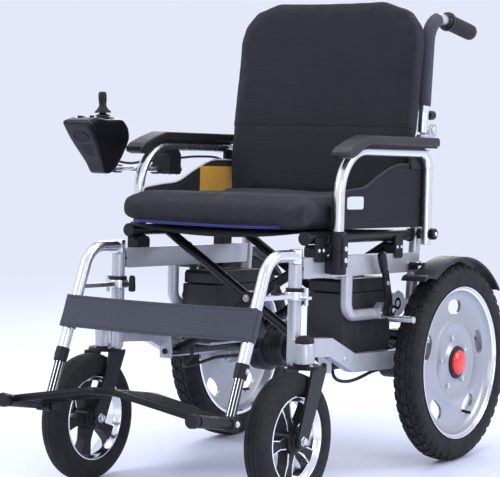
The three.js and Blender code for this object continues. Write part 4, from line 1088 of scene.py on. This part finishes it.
    # brake
    G = Geo()
    G.lathe([(0, 4.2), (0, 11), (1.5, 12), (16, 12), (18, 10.5), (18, 4.2)], (228, -192, 317), (1, 0, 0), 26, loop=True)
    P(G, [(-202, 312), (-183, 312), (-186, 340), (-203, 396), (-212, 404), (-221, 400), (-220, 390)], 234, 240, 4)
    A, B = Vector((237, -214, 390)), Vector((237, -230, 434))
    G.tube([A, A.lerp(B, 0.15), A.lerp(B, 0.6), A.lerp(B, 0.9), B], [5.2, 7.4, 9.5, 9.0, 6.4], 24, soft=1.6)
    G.use(1)
    G.bar((240, -194.6, 301.2), (296, -194.6, 301.2), 6.9, 20)
    G.bar((226, -192, 317), (247.4, -192, 317), 4, 16)
    G.bolt((247.4, -192, 317), (1, 0, 0), 5, 2.6, True)
    G.bolt((240, -205, 372), (1, 0, 0), 4, 2.4, True)
    build("brake_parts_" + q, G, [BLACKP, STEEL], "brake_" + q, g=g, rep=["brake_lever_" + q], bevel=0.7)
    G = Geo()
    G.tube(smooth_line([(170, -295, 232.9), (170, -295, 222), (171, -296, 207), (176, -302, 193), (184, -305, 184.5), (191, -298, 179.5), (196, -280, 177.5), (196, -250, 179), (195, -215, 184), (192, -180, 189), (186, -140, 190), (177, -95, 190), (171, -68, 194), (169, -53.4, 200)], 6), 3.4, 14)
    build("motor_lead_" + q, G, GRIPR, "side_frame_" + q, g=g, rep=["motor_cable_" + q])

# ------------------------------------------------------------------ controller
case = from_node("controller_body", "controller_case", GLOSS, "controller", 0, angle=3)
r = case.modifiers.new("remesh", "REMESH")
r.mode = "VOXEL"
r.voxel_size = 0.0016
baked(case)
case.data.materials.clear()
case.data.materials.append(GLOSS)
inside = [v.index for v in case.data.vertices if v.co.y > (-424 + SHIFT) / 1000 and v.co.z < 0.62]
bm = bmesh.new()
bm.from_mesh(case.data)
bm.verts.ensure_lookup_table()
for v in bm.verts:
    k = max(0.0, min(1.0, (v.co.z - 0.605) / 0.085))
    if not (v.co.y > (-440 + SHIFT) / 1000 and v.co.z < 0.60):
        v.co.x = -0.268 + (v.co.x + 0.268) * (0.60 + 0.40 * k * k * (3 - 2 * k))
soft_v = [v for v in bm.verts if not (v.co.y > (-440 + SHIFT) / 1000 and v.co.z < 0.60)]
for _ in range(70):
    bmesh.ops.smooth_vert(bm, verts=soft_v, factor=0.5, use_axis_x=True, use_axis_y=True, use_axis_z=True)
bm.to_mesh(case.data)
bm.free()
case.data.polygons.foreach_set("use_smooth", [True] * len(case.data.polygons))

from_node("controller_rod", "controller_rod_tube", BRIGHT, "controller", 0.6, ang=50)
from_node("clamp_knob", "clamp_star", PLASTIC, "clamp", 1.0)
G = Geo()
G.lathe([(703.2, 0), (703.2, 17.4), (705.4, 17.7), (707.2, 13), (711, 13), (712.6, 17.2), (714.6, 16.8), (716.4, 12), (720, 11.6), (721.4, 15.4), (723.2, 14.8), (725, 9), (727.4, 6), (727.4, 0)], (-265, -462, 0), (0, 0, 1), 40)
build("joystick_gaiter", G, GRIPR, "stick_boot", put=R, rep=["joystick_boot"], ang=70)
G = Geo()
G.lathe([(728.6, 0), (728.6, 6), (727.9, 16.6), (729.4, 17.0), (735, 11.5), (740.5, 8), (744, 7.2), (752, 8.2), (762, 8.6), (767, 7.8), (769.6, 6.2), (770.4, 0)], (-265, -462, 0), (0, 0, 1), 36)
build("joystick_handle", G, PLASTIC, "stick", put=R, rep=["joystick_knob"], ang=60)
from_node("power_button", "power_push", PLASTIC, "button", 0.5)
from_node("speed_rocker", "speed_paddle", PLASTIC, "rocker", 0.8)
G = Geo()
G.lathe([(716.2, 18.4), (716.2, 22.5), (717.6, 23.4), (718.6, 22), (718.6, 18.4)], (-265, -462, 0), (0, 0, 1), 40, loop=True)
# charging port on the sloping front and the ribs under it
fo = Vector((-268, -531, 684))
fs_ = Vector((0, 25, -34)).normalized()
fn = Vector((0, -34, -25)).normalized()
def on_front(a, b, c):
    return fo + Vector((1, 0, 0)) * a + fs_ * b + fn * c
for rr, cc, r1 in ((15, 0.2, 2.4), (10, 0.0, 1.2)):
    ov = [on_front(rr * 1.2 * cos(2 * pi * k / 40), rr * 0.8 * sin(2 * pi * k / 40) + 2, cc - 0.6) for k in range(40)]
    G.tube(ov, r1, 10, closed=True, cap=False)
n0 = len(G.v)
G.use(1)
G.add([on_front(0, 2, 0.5)] + [on_front(13.6 * 1.2 * cos(2 * pi * k / 40), 13.6 * 0.8 * sin(2 * pi * k / 40) + 2, 0.5) for k in range(40)] + [on_front(13.6 * 1.2 * cos(2 * pi * k / 40), 13.6 * 0.8 * sin(2 * pi * k / 40) + 2, -1.5) for k in range(40)] + [on_front(0, 2, -1.5)], [[0, 1 + k, 1 + (k + 1) % 40] for k in range(40)] + [[1 + k, 41 + k, 41 + (k + 1) % 40, 1 + (k + 1) % 40] for k in range(40)] + [[81, 41 + (k + 1) % 40, 41 + k] for k in range(40)])
G.use(0)
for k in range(6):
    b = 24 + k * 5.2
    G.tube([on_front(-19 + 1.6 * k, b, -0.6), on_front(0, b, -0.1), on_front(19 - 1.6 * k, b, -0.6)], 1.4, 8)
build("controller_ring", G, [PLASTIC, DARKHOLE], "controller", put=R, ang=50)
G = Geo()
G.tube(smooth_line([(-292, -446.5, 618), (-292, -436, 612), (-290, -420, 604), (-286, -400, 600), (-280, -380, 598), (-282, -350, 600), (-284, -320, 603), (-284, -290, 604), (-283, -250, 606), (-276, -220, 610), (-262, -190, 614), (-257, -150, 615), (-256, -110, 614), (-256, -80, 608), (-256, -74, 600), (-256, -74, 580)], 6), 2.5, 14)
lead = build("controller_lead", G, GRIPR, None, rep=["controller_cable"])
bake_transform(lead)

# ------------------------------------------------------------------ soft goods
LEAN = rad(7.61)


def backmap(p):
    x, h, t = p
    return (x, -85 - t * cos(LEAN) + h * sin(LEAN), 646 + t * sin(LEAN) + h * cos(LEAN))


def inv_back(p):
    x, u, v = inv_W(p)
    du, dv = u + 85, v - 646
    return x, du * sin(LEAN) + dv * cos(LEAN), dv * sin(LEAN) - du * cos(LEAN)


def bevelled(ob, w, seg=4, a=40):
    b = ob.modifiers.new("round", "BEVEL")
    b.width, b.segments, b.limit_method, b.angle_limit = w / 1000, seg, "ANGLE", rad(a)
    baked(ob)


def wrinkle(ob, fn):
    """Moves each vertex along its normal by fn(row position in mm) mm."""
    me = ob.data
    nrm = [v.normal.copy() for v in me.vertices]
    for v, k in zip(me.vertices, nrm):
        v.co += k * (fn(v.co * 1000) / 1000)
    me.update()


from mathutils import noise as mnoise

# seat cushion
G = Geo()
P(G, [(-486, 506), (-484, 488), (-470, 479.6), (-110, 479.6), (-101, 486), (-99, 520), (-106, 536), (-440, 540), (-468, 539), (-482, 527)], -209, 209, 12, n=6)
cush = build("cushion_skin", G, SEATF, "seat", rep=["seat_cushion"])
bevelled(cush, 12)
puff(cush, 0.0055, 0.016, 5.0)
fit(cush, inv_W, W, (-214, -491, 478.3), (214, -114, 546))
for v in cush.data.vertices:
    x, u, vv = inv_W(v.co)
    k = max(0.0, min(1.0, (u + 200) / 70)) * max(0.0, min(1.0, (vv - 500) / 40))
    v.co = W((x, u, vv + 8 * k * k * (3 - 2 * k)))


def seat_w(p):
    x, u, v = inv_W(p / 1000)
    near = max(0.0, min(1.0, (u + 260) / 150))
    w = 1.5 * mnoise.noise(Vector((x * 0.011, u * 0.013, v * 0.02)))
    w += near * 2.2 * (1 - abs(mnoise.noise(Vector((x * 0.012 + 7, u * 0.045 + 0.3 * sin(x * 0.02), 3)))) * 2.4)
    front = max(0.0, min(1.0, (-440 - u) / 30))
    w += front * 1.0 * mnoise.noise(Vector((x * 0.045, 2, v * 0.012)))
    side = max(0.0, min(1.0, (abs(x) - 185) / 20))
    w += side * 0.9 * mnoise.noise(Vector((1, u * 0.04, v * 0.02)))
    if v < 482:
        return -0.5
    return w


wrinkle(cush, seat_w)
for v in cush.data.vertices:
    x, u, vv = inv_W(v.co)
    v.co = W((max(-215, min(215, x)), max(-492, min(-113, u)), max(478.2, min(556, vv))))
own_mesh(cush)
G = Geo()
G.tube(smooth_line([(-190, -474, 484), (-187, -481, 485.2), (-150, -485.4, 484.2), (-60, -487.0, 482.8), (50, -487.4, 482.2), (120, -486.6, 483), (150, -485, 484), (158, -478, 484)], 6), 2.6, 12)
pip = build("cushion_piping", G, PIPING, "seat", ang=60)
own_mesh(pip)

# seat sling: a sheet hung between the two seat rails, sagging
G = Geo()
nx, nu, th = 30, 20, 1.2
vs = []
for s in (1, -1):
    for i in range(nx + 1):
        x = -206 + 412 * i / nx
        e = 1 - (x / 206) ** 2
        for j in range(nu + 1):
            u = -472 + 342 * j / nu
            front = max(0.0, 1 - (u + 472) / 60)
            vs.append((x, u, 476.6 - e * (4 + 11 * front) + th / 2 * s - 0.6))
fs = []
K = (nx + 1) * (nu + 1)
ix = lambda i, j, s=0: s * K + i * (nu + 1) + j
for i in range(nx):
    for j in range(nu):
        fs.append([ix(i, j), ix(i + 1, j), ix(i + 1, j + 1), ix(i, j + 1)])
        fs.append([ix(i, j, 1), ix(i, j + 1, 1), ix(i + 1, j + 1, 1), ix(i + 1, j, 1)])
for i in range(nx):
    fs.append([ix(i, 0), ix(i, 0, 1), ix(i + 1, 0, 1), ix(i + 1, 0)])
    fs.append([ix(i, nu), ix(i + 1, nu), ix(i + 1, nu, 1), ix(i, nu, 1)])
for j in range(nu):
    fs.append([ix(0, j), ix(0, j + 1), ix(0, j + 1, 1), ix(0, j, 1)])
    fs.append([ix(nx, j), ix(nx, j, 1), ix(nx, j + 1, 1), ix(nx, j + 1)])
G.add(vs, fs)
sling = build("seat_sling", G, GUARDF, "seat", ang=70)
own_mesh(sling)


# back panels: one flat panel that breaks at the back's fold line
def panel(name, poly, body, node, cut_h, keep_up):
    G = Geo()
    P(G, poly, -25.5, 25.5, 16, axis="z", n=5)
    ob = build(name, G, BACKF, body, pre=backmap, rep=[node])
    bevelled(ob, 9)
    puff(ob, 0.0055, 0.007, 4.0)
    hs = [h for _, h in poly]
    fit(ob, inv_back, lambda p: W(backmap(p)), (-219, min(hs) - (24 if min(hs) < 0 else 0), -28), (219, max(hs), 28))
    wrinkle(ob, lambda p: 0.9 * mnoise.noise(Vector((p.x * 0.009, p.z * 0.008, 1))) + 0.5 * mnoise.noise(Vector((p.x * 0.03, p.z * 0.02, 5))))
    bm = bmesh.new()
    bm.from_mesh(ob.data)
    co = W(backmap((0, cut_h, 0)))
    no = (W(backmap((0, cut_h + 100, 0))) - co).normalized()
    bmesh.ops.bisect_plane(bm, geom=bm.verts[:] + bm.edges[:] + bm.faces[:], plane_co=co, plane_no=no, clear_outer=not keep_up, clear_inner=keep_up)
    edge = [e for e in bm.edges if e.is_boundary]
    r = bmesh.ops.holes_fill(bm, edges=edge, sides=0)
    bmesh.ops.recalc_face_normals(bm, faces=bm.faces)
    bm.to_mesh(ob.data)
    bm.free()
    ob.data.polygons.foreach_set("use_smooth", [True] * len(ob.data.polygons))
    ob.data.set_sharp_from_angle(angle=rad(60))
    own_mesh(ob)
    return ob


panel("back_upholstery_upper", [(-219, 10), (219, 10), (219, 216), (210, 252), (185, 282), (131, 301), (-131, 301), (-185, 282), (-210, 252), (-219, 216)], "back_left", "back_pad_upper", 36.4, True)
panel("back_upholstery_lower", [(-205, -95), (205, -95), (212, -60), (218, -20), (219, 62), (-219, 62), (-218, -20), (-212, -60)], "side_frame_left", "back_pad_lower", 35.9, False)
# calf strap, looped round both hangers
G = Geo()
nx, nu = 40, 8
leg = Vector((0, -0.3655, -0.9308))
nrm = Vector((0, -0.9308, 0.3655))
c0 = Vector((0, -644.2, 307.2))
vs = []
for s in (1, 0):
    for i in range(nx + 1):
        x = -222 + 444 * i / nx
        sag = 5.0 * (1 - (x / 222) ** 2)
        for j in range(nu + 1):
            d = -32 + 64 * j / nu
            bulge = 1.1 * cos(pi * j / nu * 2) * 0.4
            p = c0 + leg * (d + sag * 0.6) + nrm * (12.4 + 2.4 * s + bulge)
            p.x = x
            vs.append(p)
fs = []
K = (nx + 1) * (nu + 1)
ix = lambda i, j, s=0: s * K + i * (nu + 1) + j
for i in range(nx):
    for j in range(nu):
        fs.append([ix(i, j), ix(i + 1, j), ix(i + 1, j + 1), ix(i, j + 1)])
        fs.append([ix(i, j, 1), ix(i, j + 1, 1), ix(i + 1, j + 1, 1), ix(i + 1, j, 1)])
for i in range(nx):
    fs.append([ix(i, 0), ix(i, 0, 1), ix(i + 1, 0, 1), ix(i + 1, 0)])
    fs.append([ix(i, nu), ix(i + 1, nu), ix(i + 1, nu, 1), ix(i, nu, 1)])
for j in range(nu):
    fs.append([ix(0, j), ix(0, j + 1), ix(0, j + 1, 1), ix(0, j, 1)])
    fs.append([ix(nx, j), ix(nx, j, 1), ix(nx, j + 1, 1), ix(nx, j + 1)])
G.add(vs, fs)
strap = build("calf_strap_band", G, WEBF, "legrest_left", rep=["calf_strap"], ang=70)
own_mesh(strap)
G = Geo()
for d in (-27, 27):
    G.tube([c0 + leg * (d + 3.0 * (1 - (x / 222) ** 2)) + nrm * 15.0 + Vector((x, 0, 0)) for x in range(-218, 219, 12)], 0.55, 8)
st = build("calf_strap_stitch", G, THREAD, "legrest_left")
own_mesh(st)
for q, g in SIDES:
    G = Geo()
    loop = []
    for k in range(33):
        t = 2 * pi * k / 32
        loop.append((cos(t), sin(t)))
    vs, fs = [], []
    for rr in (13.6, 11.7):
        for d in (-31, 31):
            for cx, cy in loop[:-1]:
                p = c0 + leg * d + nrm * (rr * cy) * 1.0
                p.x = 210 + rr * cx
                vs.append(p)
    n = 32
    for i in range(n):
        j = (i + 1) % n
        fs += [[i, j, n + j, n + i], [2 * n + i, 3 * n + i, 3 * n + j, 2 * n + j], [i, 2 * n + i, 2 * n + j, j], [n + i, n + j, 3 * n + j, 3 * n + i]]
    G.add(vs, fs)
    build("strap_loop_" + q, G, WEBF, "legrest_" + q, g=g, ang=60)

# any CAD node still showing takes the matching procedural material
SLOT = {"silver_frame": SILVER, "bright_tube": BRIGHT, "motor_case": MOTORM, "wheel_silver": WHEEL, "tyre": RUBBER, "red_cap": RED, "black_paint": BLACKP, "black_plastic": PLASTIC, "gloss_black": GLOSS, "pad_vinyl": VINYL, "guard_fabric": GUARDF, "grip_rubber": GRIPR, "seat_fabric": SEATF, "strap_fabric": WEBF, "lead_rubber": GRIPR}
for o in list(bpy.data.objects):
    for s in o.material_slots:
        if s.material and s.material.name in SLOT:
            s.material = SLOT[s.material.name]
